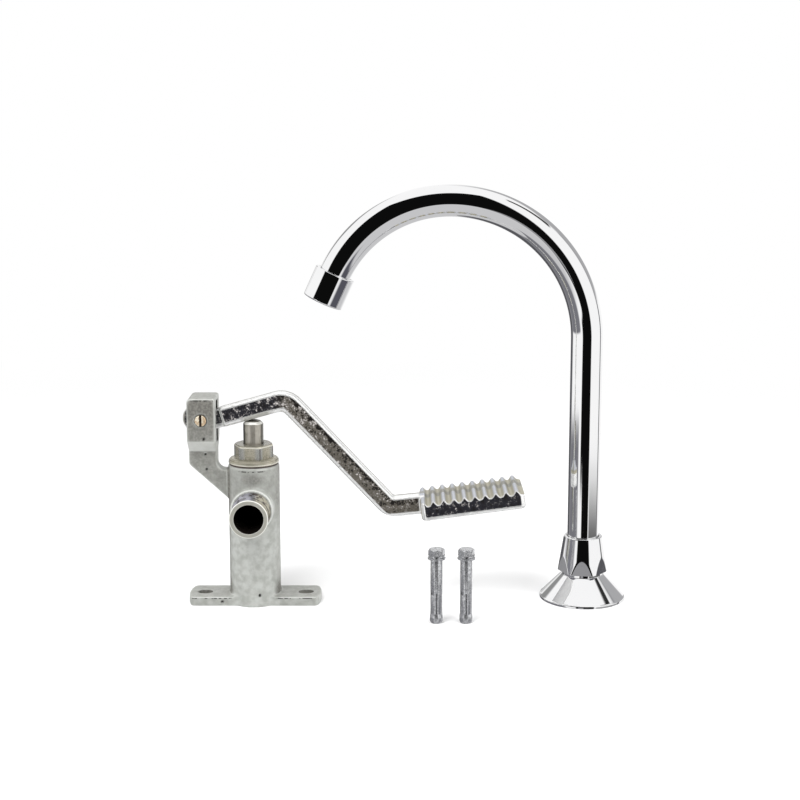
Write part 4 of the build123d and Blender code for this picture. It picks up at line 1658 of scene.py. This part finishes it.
@dataclass(frozen=True)
class Valve(Assembly):
    """The pedal valve: cast body, nipples, gland nut, push rod, pivot screw and works."""

    screw_bevel: float = 0.12
    plunger_travel: float = 5.4

    def build(self) -> None:
        """Make and dress every piece of the valve."""
        BodyCasting(self.nodes, self.shelf).build()
        for nipple in (OUTLET, INLET):
            self.fit(nipple.piece(), ThreadedChrome(), f"{nipple.name}_nipple")
        GlandNut(self.nodes, self.shelf).build()
        PushRod(self.nodes, self.shelf).build()
        self.screw()
        self.works()
        self.spring()

    def screw(self) -> None:
        """Slotted brass pivot screw."""
        low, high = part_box("pivot_screw")
        centre = tuple((low + high) / 2 / MM)
        piece = bevelled_copy(self.nodes["pivot_screw"], "pivot_screw_head", self.screw_bevel)
        self.fit(piece, SlottedBrass(centre=centre), "pivot_screw")

    def works(self) -> None:
        """Finishes of the pieces inside the valve."""
        brass = TurnedMetal("brass_works", Slot.BRASS, BRASS, BRASS_TARNISH)
        wetted = TurnedMetal(
            "brass_stem", Slot.BRASS, (0.20, 0.14, 0.10), (0.08, 0.05, 0.04), gloss=(0.2, 0.4))
        fibre = Moulded(
            "fibre", Slot.FIBRE, (0.10, 0.08, 0.07), (0.05, 0.04, 0.04), Pattern(0.3, 3.0), 0.04, (0.7, 0.9))
        for node in ("valve_seat", "disc_carrier", "disc_nut", "bottom_plug"):
            self.keep(node, brass)
        self.keep("valve_stem", wetted)
        for node in ("plunger_o_rings", "valve_disc", "plug_o_ring"):
            self.keep(node, RUBBER)
        self.keep("gland_gasket", fibre)

    def spring(self) -> None:
        """Return spring, a copy of its frame node with a mesh of its own."""
        wire = PlainMetal(
            "spring_wire", Slot.SPRING_STEEL, (0.52, 0.52, 0.53), (0.36, 0.36, 0.38), Pattern(0.8, 4.0))
        piece = merged_copy(self.nodes["return_spring"], "return_coil")
        self.fit(piece, wire, "return_spring")
        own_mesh(piece)


# Pedal


@dataclass(frozen=True)
class Pedal(Assembly):
    """Cast lever and ridged tread."""

    body: Body = Body.PEDAL
    voxel: float = 0.6
    rounds: int = 3
    bar_line: tuple[Span, ...] = ((-20.8, 132.2), (23.0, 144.5), (94.8, 68.2), (119.8, 70.7))
    bar_height: float = 13.6
    bar_side: Fade = Fade(12, 9)
    lower_rim: float = 2.4
    first_run_rim: Fade = Fade(24, 10, 0.8)
    tread_start: Span = (117.2, 62.8)
    tread_tilt: float = 7.6
    tread_length: float = 72.2
    tread_front: float = 20.0
    pad_rim: float = 2.6
    rim_edge: Fade = Fade(0.4, -0.4)
    rim_share: float = 0.12
    slab: float = 10.4
    slab_skin: float = 0.6
    slab_end: Span = (-1.0, 1.2)
    end_facing: float = 0.5
    ridge: float = 2.8
    # where the painted reflection turns warm, and where its painted glints are thick or few
    warm_run: Span = (24.0, 122.0)
    knee_run: Span = (6.0, 44.0)
    run_fade: float = 10.0
    knee_glints: float = 0.8
    warm_glints: float = -0.9
    tread_glints: float = -1.3
    # where the metal is dimmed: painted shade under the bar and in the eye, and the bar's back top edge
    back_edge: Fade = Fade(0.2, 2.0)
    facing_up: Fade = Fade(0.3, 0.6)
    under_start: Fade = Fade(-9, -5, 0.8)
    under_end: Fade = Fade(15, 10)
    eye_start: float = -46.5
    eye_dim: float = 0.7

    def build(self) -> None:
        """Make and dress the pedal casting."""
        piece = cast_copy(self.nodes["pedal_lever"], "pedal_casting", self.voxel, self.rounds)
        self.mark_sides(piece.data)
        self.mark_tones(piece.data)
        self.mark_tread(piece.data)
        self.fit(piece, CastChrome(), "pedal_lever")

    def off_centre(self, x: np.ndarray, z: np.ndarray) -> np.ndarray:
        """Signed distance above the nearest leg of the bar's centre line.

        With a leg from A to B, its unit direction d and its upward normal n, the nearest leg is
        the one with the least |P - A - clip((P - A) . d, 0, |B - A|) d|, and the distance is
        (P - A) . n.

        Args:
            x: first coordinates of the points.
            z: heights of the points.

        Returns:
            The distances.
        """
        gaps, heights = [], []
        for start, end in zip(self.bar_line, self.bar_line[1:]):
            length = math.dist(start, end)
            dx, dz = (end[0] - start[0]) / length, (end[1] - start[1]) / length
            px, pz = x - start[0], z - start[1]
            run = np.clip(px * dx + pz * dz, 0, length)
            gaps.append(np.hypot(px - run * dx, pz - run * dz))
            heights.append(pz * dx - px * dz)
        nearest = np.argmin(gaps, axis=0)[None, :]
        return np.take_along_axis(np.array(heights), nearest, axis=0)[0]

    def on_pad(self, points: np.ndarray) -> tuple[np.ndarray, np.ndarray]:
        """Places along and above the tilted slab: the offset from its corner, turned by its tilt.

        Args:
            points: coordinates in rows.

        Returns:
            Distances along the slab and above its underside.
        """
        tilt = math.radians(self.tread_tilt)
        x, z = points[:, 0] - self.tread_start[0], points[:, 2] - self.tread_start[1]
        return x * math.cos(tilt) + z * math.sin(tilt), -x * math.sin(tilt) + z * math.cos(tilt)

    def rims(self, points: np.ndarray) -> np.ndarray:
        """Share of 1 on the bright rims: along the bar's lower edge and round the pad's front.

        Args:
            points: coordinates in rows.

        Returns:
            The shares.
        """
        x, y, z = points.T
        along, above = self.on_pad(points)
        right = self.tread_length - self.pad_rim / 2 - along
        inside = np.min([above - self.pad_rim, along - self.pad_rim, right], axis=0)
        wide = self.lower_rim + self.first_run_rim.of(x)
        below = self.off_centre(x, z) + self.bar_height / 2 - wide
        return self.rim_edge.of(np.where(np.abs(y) > self.tread_front, inside, below))

    def mark_sides(self, mesh: bpy.types.Mesh) -> None:
        """Write where the painted reflection on the front and back lies and where the metal is dimmed.

        "side" is |n_y|, lowered on the bright rims. "dim" is painted shade on a stretch of the lower
        bevel over the plunger and on the round eye behind the clevis, and darkens the bar's back top
        edge.

        Args:
            mesh: the pedal's mesh.
        """
        points = vertex_points(mesh)
        x, y, _ = points.T
        _, normal_y, normal_z = vertex_directions(mesh).T
        rim = self.rims(points)
        write_mask(mesh, "side", np.abs(normal_y) * (1 - self.rim_share * rim))
        back = self.back_edge.of(y) * self.facing_up.of(normal_z)
        under = rim * (y < 0) * self.under_start.of(x) * self.under_end.of(x)
        under = under * (normal_z < self.facing_up.start)
        eye = self.eye_dim * (x < self.eye_start)
        write_mask(mesh, "dim", self.bar_side.of(np.abs(y)) * np.max([back, under, eye], axis=0))

    def mark_tones(self, mesh: bpy.types.Mesh) -> None:
        """Write how the painted reflection changes along the bar.

        "across" runs from -1 at the bar's lower edge to 1 at its upper edge and "warm" is 1 on
        the sloping run. "dense" is above 0 around the knee, where the painted glints are thick, and
        below 0 where they are few.

        Args:
            mesh: the pedal's mesh.
        """
        x, y, z = vertex_points(mesh).T
        bar = self.bar_side.of(np.abs(y))
        warm, knee = bar * self.hump(x, *self.warm_run), bar * self.hump(x, *self.knee_run)
        write_mask(mesh, "across", 2 * self.off_centre(x, z) / self.bar_height)
        write_mask(mesh, "warm", warm)
        sloping = np.clip(warm - knee, 0, 1)
        glints = self.knee_glints * knee + self.warm_glints * sloping + self.tread_glints * (1 - bar)
        write_mask(mesh, "dense", glints)

    def hump(self, x: np.ndarray, start: float, end: float) -> np.ndarray:
        """Share that is 1 between two places and fades outside them."""
        return ramp(x, start - self.run_fade, start) * ramp(x, end + self.run_fade, end)

    def mark_tread(self, mesh: bpy.types.Mesh) -> None:
        """Write "crest", from 0 in the valleys of the tread to 1 on its ridges.

        With w the height above the slab's underside, the value is (w - slab) / ridge above the
        slab, 0 on the slab's left end and -1 elsewhere.

        Args:
            mesh: the pedal's mesh.
        """
        along, above = self.on_pad(vertex_points(mesh))
        ridged = (along > 0) & (above > self.slab - self.slab_skin)
        crest = np.where(ridged, (above - self.slab) / self.ridge, -1.0)
        at_end = (along > self.slab_end[0]) & (along < self.slab_end[1]) & (above < self.slab)
        crest = np.where(at_end & (vertex_directions(mesh)[:, 0] < -self.end_facing), 0.0, crest)
        write_mask(mesh, "crest", crest)


# Spout


@dataclass(frozen=True)
class Spout(Assembly):
    """Swan-neck tube, cone nut, base and aerator."""

    body: Body = Body.SPOUT
    centre: Span = (231.5, 8.0)
    tube_radius: float = 11.0
    tube_wall: float = 1.0
    tube_foot: float = 35.6
    tube_columns: int = 128
    crown_x: float = 136.1
    crown_height: float = 280.9
    inner_radius: float = 87.0
    inner_angle: float = 65.5
    riser_rows: int = 60
    outer_rows: int = 121
    inner_rows: int = 97
    nut_bottom: float = 19.4
    nut_top: float = 45.0
    nut_bottom_radius: float = 17.4
    nut_top_radius: float = 13.4
    nut_bore: float = 11.4
    nut_hollow_radius: float = 13.3
    nut_hollow_top: float = 38.8
    nut_flats: float = 31.2
    nut_flats_soft: float = 0.12
    nut_turn: float = -98.0
    nut_columns: int = 240
    spigot_radius: float = 13.0
    spigot_top: float = 33.0
    base_radius: float = 30.0
    base_columns: int = 160
    rim_height: float = 1.7
    ring_groove: Span = (20.0, 26.0)
    groove_depth: float = 2.0
    cone_foot: Span = (29.2, 2.2)
    cone_top: Span = (14.8, 17.4)
    neck_radius: float = 14.4
    hose_bore: float = 9.32
    hose_bore_top: float = 14.0
    throat_radius: float = 8.0
    socket_radius: float = 11.05
    socket_floor: float = 17.5
    shell_start: float = -1.3
    shell_end: float = 20.4
    shell_radius: float = 14.2
    shell_mouth: float = 10.9
    shell_bore: float = 12.0
    shell_lip: float = 1.6
    shell_columns: int = 160

    def build(self) -> None:
        """Make and dress every piece of the spout."""
        self.tube()
        self.nut()
        self.base()
        self.aerator()
        self.hidden()

    def path(self) -> tuple[np.ndarray, np.ndarray]:
        """Centre line of the tube: riser, large arc to the crown, tighter arc to the nozzle.

        Returns:
            Points (x, z) and unit tangents (x, z), row by row.
        """
        outer = self.centre[0] - self.crown_x
        spring = self.crown_height - outer
        rise = np.linspace(self.tube_foot, spring, self.riser_rows)[:-1]
        first = np.radians(np.linspace(0, 90, self.outer_rows))
        second = np.radians(np.linspace(0, self.inner_angle, self.inner_rows))[1:]
        inner_z = self.crown_height - self.inner_radius
        points = np.concatenate([
            np.stack([0 * rise + self.centre[0], rise], axis=1),
            np.stack([self.crown_x + outer * np.cos(first), spring + outer * np.sin(first)], axis=1),
            np.stack([
                self.crown_x - self.inner_radius * np.sin(second),
                inner_z + self.inner_radius * np.cos(second),
            ], axis=1),
        ])
        tangents = np.concatenate([
            np.stack([0 * rise, 0 * rise + 1], axis=1),
            np.stack([-np.sin(first), np.cos(first)], axis=1),
            np.stack([-np.cos(second), -np.sin(second)], axis=1),
        ])
        return points, tangents

    def tube(self) -> None:
        """Bent tube: p = c(s) + r (cos a n(s) + sin a y), outside and back along the bore."""
        points, tangents = self.path()
        normals = np.stack([-tangents[:, 1], tangents[:, 0]], axis=1)
        bore = self.tube_radius - self.tube_wall
        centres = np.concatenate([points, points[::-1]])
        sides = np.concatenate([normals, normals[::-1]])
        radii = np.repeat([self.tube_radius, bore], len(points))[:, None]
        angle = 2 * np.pi * np.arange(self.tube_columns) / self.tube_columns
        x = centres[:, :1] + radii * sides[:, :1] * np.cos(angle)
        z = centres[:, 1:] + radii * sides[:, 1:] * np.cos(angle)
        y = self.centre[1] + radii * np.sin(angle)
        self.fit(skin("swan_neck", [np.stack([x, y, z], axis=-1)]), MirrorChrome(), "spout_tube")

    def nut(self) -> None:
        """Tapered nut: a cone with six spanner flats at its wide end."""
        outline = rounded([
            (self.spigot_radius, self.nut_bottom, 0.1),
            (self.nut_bottom_radius, self.nut_bottom, 0.45),
            (self.nut_top_radius, self.nut_top, 0.6),
            (self.nut_bore, self.nut_top, 0.3),
            (self.nut_bore, self.nut_hollow_top, 0.05),
            (self.nut_hollow_radius, self.nut_hollow_top, 0.05),
            (self.nut_hollow_radius, self.spigot_top, 0.05),
            (self.spigot_radius, self.spigot_top, 0.05),
        ], spacing=0.6)
        grid = revolved(outline, self.nut_columns, self.nut_turn)
        grid = with_flats(grid, self.nut_flats, self.nut_turn, self.nut_flats_soft)
        place = Place((*self.centre, 0.0))
        self.fit(skin("spout_cone_nut", [place.put(grid)]), MirrorChrome(), "cone_nut", Body.FIXED)

    def base(self) -> None:
        """Turned base: rim, cone, neck and spigot, with a groove for its ring."""
        groove_in, groove_out = self.ring_groove
        outline = rounded([
            (self.hose_bore, 0.0, 0.3),
            (groove_in, 0.0, 0.2),
            (groove_in, self.groove_depth, 0.1),
            (groove_out, self.groove_depth, 0.1),
            (groove_out, 0.0, 0.2),
            (self.base_radius, 0.0, 0.4),
            (self.base_radius, self.rim_height, 0.4),
            (*self.cone_foot, 0.25),
            (*self.cone_top, 0.2),
            (self.neck_radius, self.cone_top[1], 0.05),
            (self.neck_radius, self.nut_bottom, 0.1),
            (self.spigot_radius, self.nut_bottom, 0.1),
            (self.spigot_radius, self.spigot_top, 0.2),
            (self.socket_radius, self.spigot_top, 0.2),
            (self.socket_radius, self.socket_floor, 0.1),
            (self.throat_radius, self.socket_floor, 0.1),
            (self.throat_radius, self.hose_bore_top, 0.1),
            (self.hose_bore, self.hose_bore_top, 0.1),
        ], spacing=0.9)
        place = Place((*self.centre, 0.0))
        piece = skin("spout_base", [place.put(revolved(outline, self.base_columns))])
        self.fit(piece, MirrorChrome(), "base_flange", Body.FIXED)

    def nozzle_place(self) -> Place:
        """Find the tube's open end.

        Returns:
            Place of that end, with its axis along the flow.
        """
        points, tangents = self.path()
        flow = tangents[-1]
        return Place((points[-1, 0], self.centre[1], points[-1, 1]), (flow[0], 0.0, flow[1]))

    def aerator(self) -> None:
        """Chrome cap of the aerator with rounded rims."""
        outline = rounded([
            (self.shell_bore, self.shell_start, 0.2),
            (self.shell_radius, self.shell_start, 0.6),
            (self.shell_radius, self.shell_end, 1.1),
            (self.shell_mouth, self.shell_end, 0.4),
            (self.shell_mouth, self.shell_end - self.shell_lip, 0.1),
            (self.shell_bore, self.shell_end - self.shell_lip, 0.1),
        ], spacing=0.6)
        piece = skin("aerator_cap", [self.nozzle_place().put(revolved(outline, self.shell_columns))])
        self.fit(piece, MirrorChrome(), "aerator_shell")

    def hidden(self) -> None:
        """Finishes of the pieces inside the spout and under its base."""
        brass = TurnedMetal("brass_spout", Slot.BRASS, BRASS, BRASS_TARNISH, (*self.centre, 0.0))
        plastic = Moulded(
            "moulded_plastic", Slot.WHITE_PLASTIC, (0.80, 0.80, 0.78), (0.74, 0.74, 0.71),
            Pattern(0.5, 3.0), 0.01, (0.35, 0.5))
        sheet = PlainMetal(
            "screen_sheet", Slot.SCREEN_STEEL, (0.58, 0.58, 0.58), (0.46, 0.46, 0.46), Pattern(0.7, 4.0))
        self.keep("tube_ferrule", brass)
        self.keep("nozzle_ferrule", MirrorChrome())
        for node in ("swivel_o_rings", "base_gasket", "aerator_washer"):
            self.keep(node, RUBBER)
        for node in ("slip_washer", "aerator_insert"):
            self.keep(node, plastic)
        self.keep("aerator_screens", sheet)


# Anchors


@dataclass(frozen=True)
class Anchors(Assembly):
    """Two loose sleeve anchors: their places on the floor and the sizes of their bolts.

    The other pieces of an anchor get rounded edges of the given widths.
    """

    places: tuple[Span, ...] = ((126.5, -48.0), (146.5, -48.0))
    head_low: float = 47.2
    head_high: float = 51.4
    head_flats: float = 10.0
    head_flats_soft: float = 0.12
    head_turn: float = 12.0
    shank_radius: float = 3.0
    shank_low: float = 1.2
    corner_room: float = 0.1
    chamfer_width: float = 1.0
    chamfer_height: float = 0.9
    columns: int = 144
    edges: tuple[tuple[str, float], ...] = (
        ("anchor_sleeves", 0.15), ("anchor_cone_nuts", 0.1),
        ("anchor_flat_washers", 0.15), ("anchor_spring_washers", 0.2),
    )
    finish: PlainMetal = PlainMetal(
        "zinc_steel", Slot.ZINC_STEEL, (0.62, 0.625, 0.64), (0.42, 0.425, 0.44),
        gloss=(0.14, 0.28), metallic=0.8)

    def build(self) -> None:
        """Make and dress both anchors."""
        self.bolts()
        for node, width in self.edges:
            self.fit(bevelled_copy(self.nodes[node], node + "_soft", width), self.finish, node)

    def bolts(self) -> None:
        """Hexagon bolts with a chamfered head, both in one piece."""
        corner = self.head_flats / math.sqrt(3)
        outline = rounded([
            (0.0, self.shank_low, 0.0),
            (self.shank_radius, self.shank_low, 0.3),
            (self.shank_radius, self.head_low, 0.05),
            (corner + self.corner_room, self.head_low, 0.1),
            (corner + self.corner_room, self.head_high - self.chamfer_height, 0.2),
            (corner - self.chamfer_width, self.head_high, 0.3),
            (0.0, self.head_high, 0.0),
        ], spacing=0.5)
        grid = revolved(outline, self.columns, self.head_turn)
        low = self.head_low + 0.01
        grid = with_flats(
            grid, self.head_flats, self.head_turn + 30, self.head_flats_soft, low, self.head_high)
        grids = [Place((x, y, 0.0)).put(grid) for x, y in self.places]
        self.fit(skin("anchor_hexagons", grids), self.finish, "anchor_bolts")


# Studio


@dataclass(frozen=True)
class Card:
    """A reflector of the studio, as a patch of the sky.

    It reaches from left to right in azimuth and from low to high in height. Its upright edges
    are as soft as the first number of soft says and its level edges as the second.
    """

    left: float
    right: float
    low: float
    high: float
    soft: Span
    grey: float
    blue: float = 0.0


@dataclass(frozen=True)
class Lamp:
    """A broad light: its name, its place and width in millimetres and its power in watts."""

    name: str
    place: Point
    width: float
    power: float


@dataclass(frozen=True)
class Studio:
    """Floor, white surround, soft lights, reflected cards and the camera."""

    camera_place: Point = (101.909, -1020.864, 338.569)
    camera_pitch: float = 9.276
    camera_lens: float = 67.5
    camera_sensor: float = 36.0
    camera_shift: float = -0.05
    camera_reach: float = 50000.0
    floor_radius: float = 6000.0
    floor_height: float = -0.05
    floor_colour: Colour = (0.95, 0.95, 0.95)
    floor_roughness: float = 0.9
    floor_specular: float = 0.1
    floor_fade: Span = (250.0 * MM, 1100.0 * MM)
    surround_share: float = 1.05
    surround_rows: int = 24
    surround_columns: int = 48
    white: Colour = (1.0, 1.0, 1.0)
    below: Colour = (0.60, 0.60, 0.61)
    horizon: Span = (-30, -16)
    cards: tuple[Card, ...] = (
        Card(-180, -128, -60, 5, (8, 2), 0.62),
        Card(-180, -128, -60, -6, (8, 2), 0.10, 0.01),
        Card(-165, -136, 10, 30, (4, 3), 0.28),
        Card(-128, -52, -60, -11.6, (6, 0.8), 0.19, 0.02),
        Card(-128, -52, -5.5, 5, (6, 1.5), 0.21, 0.025),
        Card(32, 104, -19, -14.4, (3, 2.2), 0.08),
        Card(104, 114, -22, 36, (2, 1), 0.10, 0.01),
        Card(42, 92, -37, -22, (6, 3), 0.09, 0.02),
        Card(106, 172, 5, 45, (10, 3), 0.42, 0.01),
        Card(-37, 27, -14, 6, (2, 1), 0.004),
        Card(-22, 27, -24, -11, (2, 2), 0.004),
        Card(-16, -2, -24, -16.4, (1, 0.3), 0.30, 0.01),
        Card(-58, 27, 3, 58, (2, 0.5), 0.004),
        Card(84, 106, 42, 63, (4, 1), 0.03),
    )
    lamps: tuple[Lamp, ...] = (
        Lamp("key", (-500.0, -900.0, 1300.0), 900.0, 20.0),
        Lamp("fill", (900.0, -500.0, 900.0), 1200.0, 8.0),
    )
    lit_point: Point = (100.0, 0.0, 80.0)

    def build(self) -> None:
        """Set up floor, surround, sky, lights and camera."""
        self.floor()
        self.surround()
        self.sky()
        self.lights()
        self.camera()

    def disc(self, name: str, radius: float, height: float, columns: int = 96) -> bpy.types.Object:
        """Flat round disc: (r cos a, r sin a, h).

        Args:
            name: the object's name.
            radius: its radius in millimetres.
            height: its height.
            columns: corners of its rim.

        Returns:
            The object.
        """
        angle = 2 * np.pi * np.arange(columns) / columns
        rim = np.stack([radius * np.cos(angle), radius * np.sin(angle), 0 * angle + height], axis=1)
        mesh = bpy.data.meshes.new(name)
        mesh.from_pydata(rim * MM, [], [tuple(range(columns))])
        piece = bpy.data.objects.new(name, mesh)
        bpy.context.scene.collection.objects.link(piece)
        return piece

    def floor(self) -> None:
        """Plain pale floor that fades to the white of the surround far from the object."""
        piece = self.disc("floor", self.floor_radius, self.floor_height)
        sketch = Sketch(bpy.data.materials.new("floor_paper"))
        sketch.surface(self.floor_colour, self.floor_roughness, 0.0)
        shader = sketch.nodes["Principled BSDF"]
        shader.inputs["Specular IOR Level"].default_value = self.floor_specular
        glow = sketch.nodes.new("ShaderNodeEmission")
        far = sketch.span(sketch.vector(Sum.LENGTH, sketch.place).outputs["Value"], self.floor_fade)
        blend = sketch.nodes.new("ShaderNodeMixShader")
        sketch.links.new(far, blend.inputs[0])
        sketch.links.new(shader.outputs[0], blend.inputs[1])
        sketch.links.new(glow.outputs[0], blend.inputs[2])
        sketch.links.new(blend.outputs[0], sketch.nodes["Material Output"].inputs["Surface"])
        piece.data.materials.append(sketch.owner)
        piece.visible_glossy = False

    def surround(self) -> None:
        """White dome behind everything, seen by the camera alone.

        It is a sphere with the same light everywhere: R (sin t cos a, sin t sin a, cos t).
        """
        tilt = np.linspace(0, np.pi, self.surround_rows)[:, None]
        angle = 2 * np.pi * np.arange(self.surround_columns) / self.surround_columns
        grid = self.surround_share * self.floor_radius * np.stack([
            np.sin(tilt) * np.cos(angle), np.sin(tilt) * np.sin(angle), np.cos(tilt) + 0 * angle,
        ], axis=-1)
        piece = skin("surround", [grid])
        sketch = Sketch(bpy.data.materials.new("surround_white"))
        glow = sketch.nodes.new("ShaderNodeEmission")
        sketch.links.new(glow.outputs[0], sketch.nodes["Material Output"].inputs["Surface"])
        piece.data.materials.append(sketch.owner)
        for ray in ("diffuse", "glossy", "transmission", "volume_scatter", "shadow"):
            setattr(piece, "visible_" + ray, False)

    def sky(self) -> None:
        """World light: white above, grey below, and the cards as patches.

        For a direction (x, y, z) the azimuth is atan2(x, -y) and the height is asin(z), so the
        azimuth is 0 towards the front. Each card is the product of four smooth steps.
        """
        world = bpy.data.worlds.new("studio")
        bpy.context.scene.world = world
        sketch = Sketch(world, "Generated")
        x, y, z = sketch.split(sketch.place)
        turned = sketch.maths(Sum.ARCTAN2, x, sketch.maths(Sum.MULTIPLY, y, -1.0))
        azimuth = sketch.maths(Sum.DEGREES, turned)
        height = sketch.maths(Sum.DEGREES, sketch.maths(Sum.ARCSINE, z))
        colour = sketch.mix(sketch.span(height, self.horizon), self.below, self.white)
        for card in self.cards:
            mask = sketch.both(
                sketch.band(azimuth, card.left, card.right, card.soft[0]),
                sketch.band(height, card.low, card.high, card.soft[1]))
            colour = sketch.mix(mask, colour, (card.grey, card.grey, card.grey + card.blue))
        background = sketch.nodes["Background"]
        sketch.links.new(colour, background.inputs["Color"])
        background.inputs["Strength"].default_value = 1.0

    def lights(self) -> None:
        """Two broad lights that shade matt surfaces and don't show in the chrome."""
        for lamp in self.lamps:
            light = bpy.data.lights.new(lamp.name, "AREA")
            light.size = lamp.width * MM
            light.energy = lamp.power
            piece = bpy.data.objects.new(lamp.name, light)
            piece.location = [v * MM for v in lamp.place]
            x, y, z = np.array(self.lit_point) - np.array(lamp.place)
            piece.rotation_euler = (math.atan2(np.hypot(x, y), -z), 0.0, math.atan2(-x, y))
            piece.visible_glossy = False
            bpy.context.scene.collection.objects.link(piece)

    def camera(self) -> None:
        """Camera at the photograph's angle, looking along +Y and slightly down."""
        data = bpy.data.cameras.new("camera")
        data.lens = self.camera_lens
        data.sensor_width = self.camera_sensor
        data.shift_y = self.camera_shift
        data.clip_end = self.camera_reach * MM
        camera = bpy.data.objects.new("camera", data)
        camera.location = [v * MM for v in self.camera_place]
        camera.rotation_euler = (math.radians(90 - self.camera_pitch), 0.0, 0.0)
        bpy.context.scene.collection.objects.link(camera)
        bpy.context.scene.camera = camera


# The whole set


def corners(bounds: tuple[Sequence[float], Sequence[float]]) -> list[list[float]]:
    """Bounds as plain lists of numbers."""
    return [list(corner) for corner in bounds]


def main() -> None:
    """Dress the frame, one sub-assembly after another, and set up the studio."""
    logging.basicConfig(level=logging.INFO, format="%(name)s: %(message)s")
    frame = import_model()
    shelf = FinishShelf()
    for assembly in (Valve, Pedal, Spout, Anchors):
        assembly(frame["nodes"], shelf).build()
        log.info("%s is dressed", assembly.__name__)
    Studio().build()
    bpy.context.scene.view_settings.view_transform = "Standard"


if __name__ == "__main__":
    main()
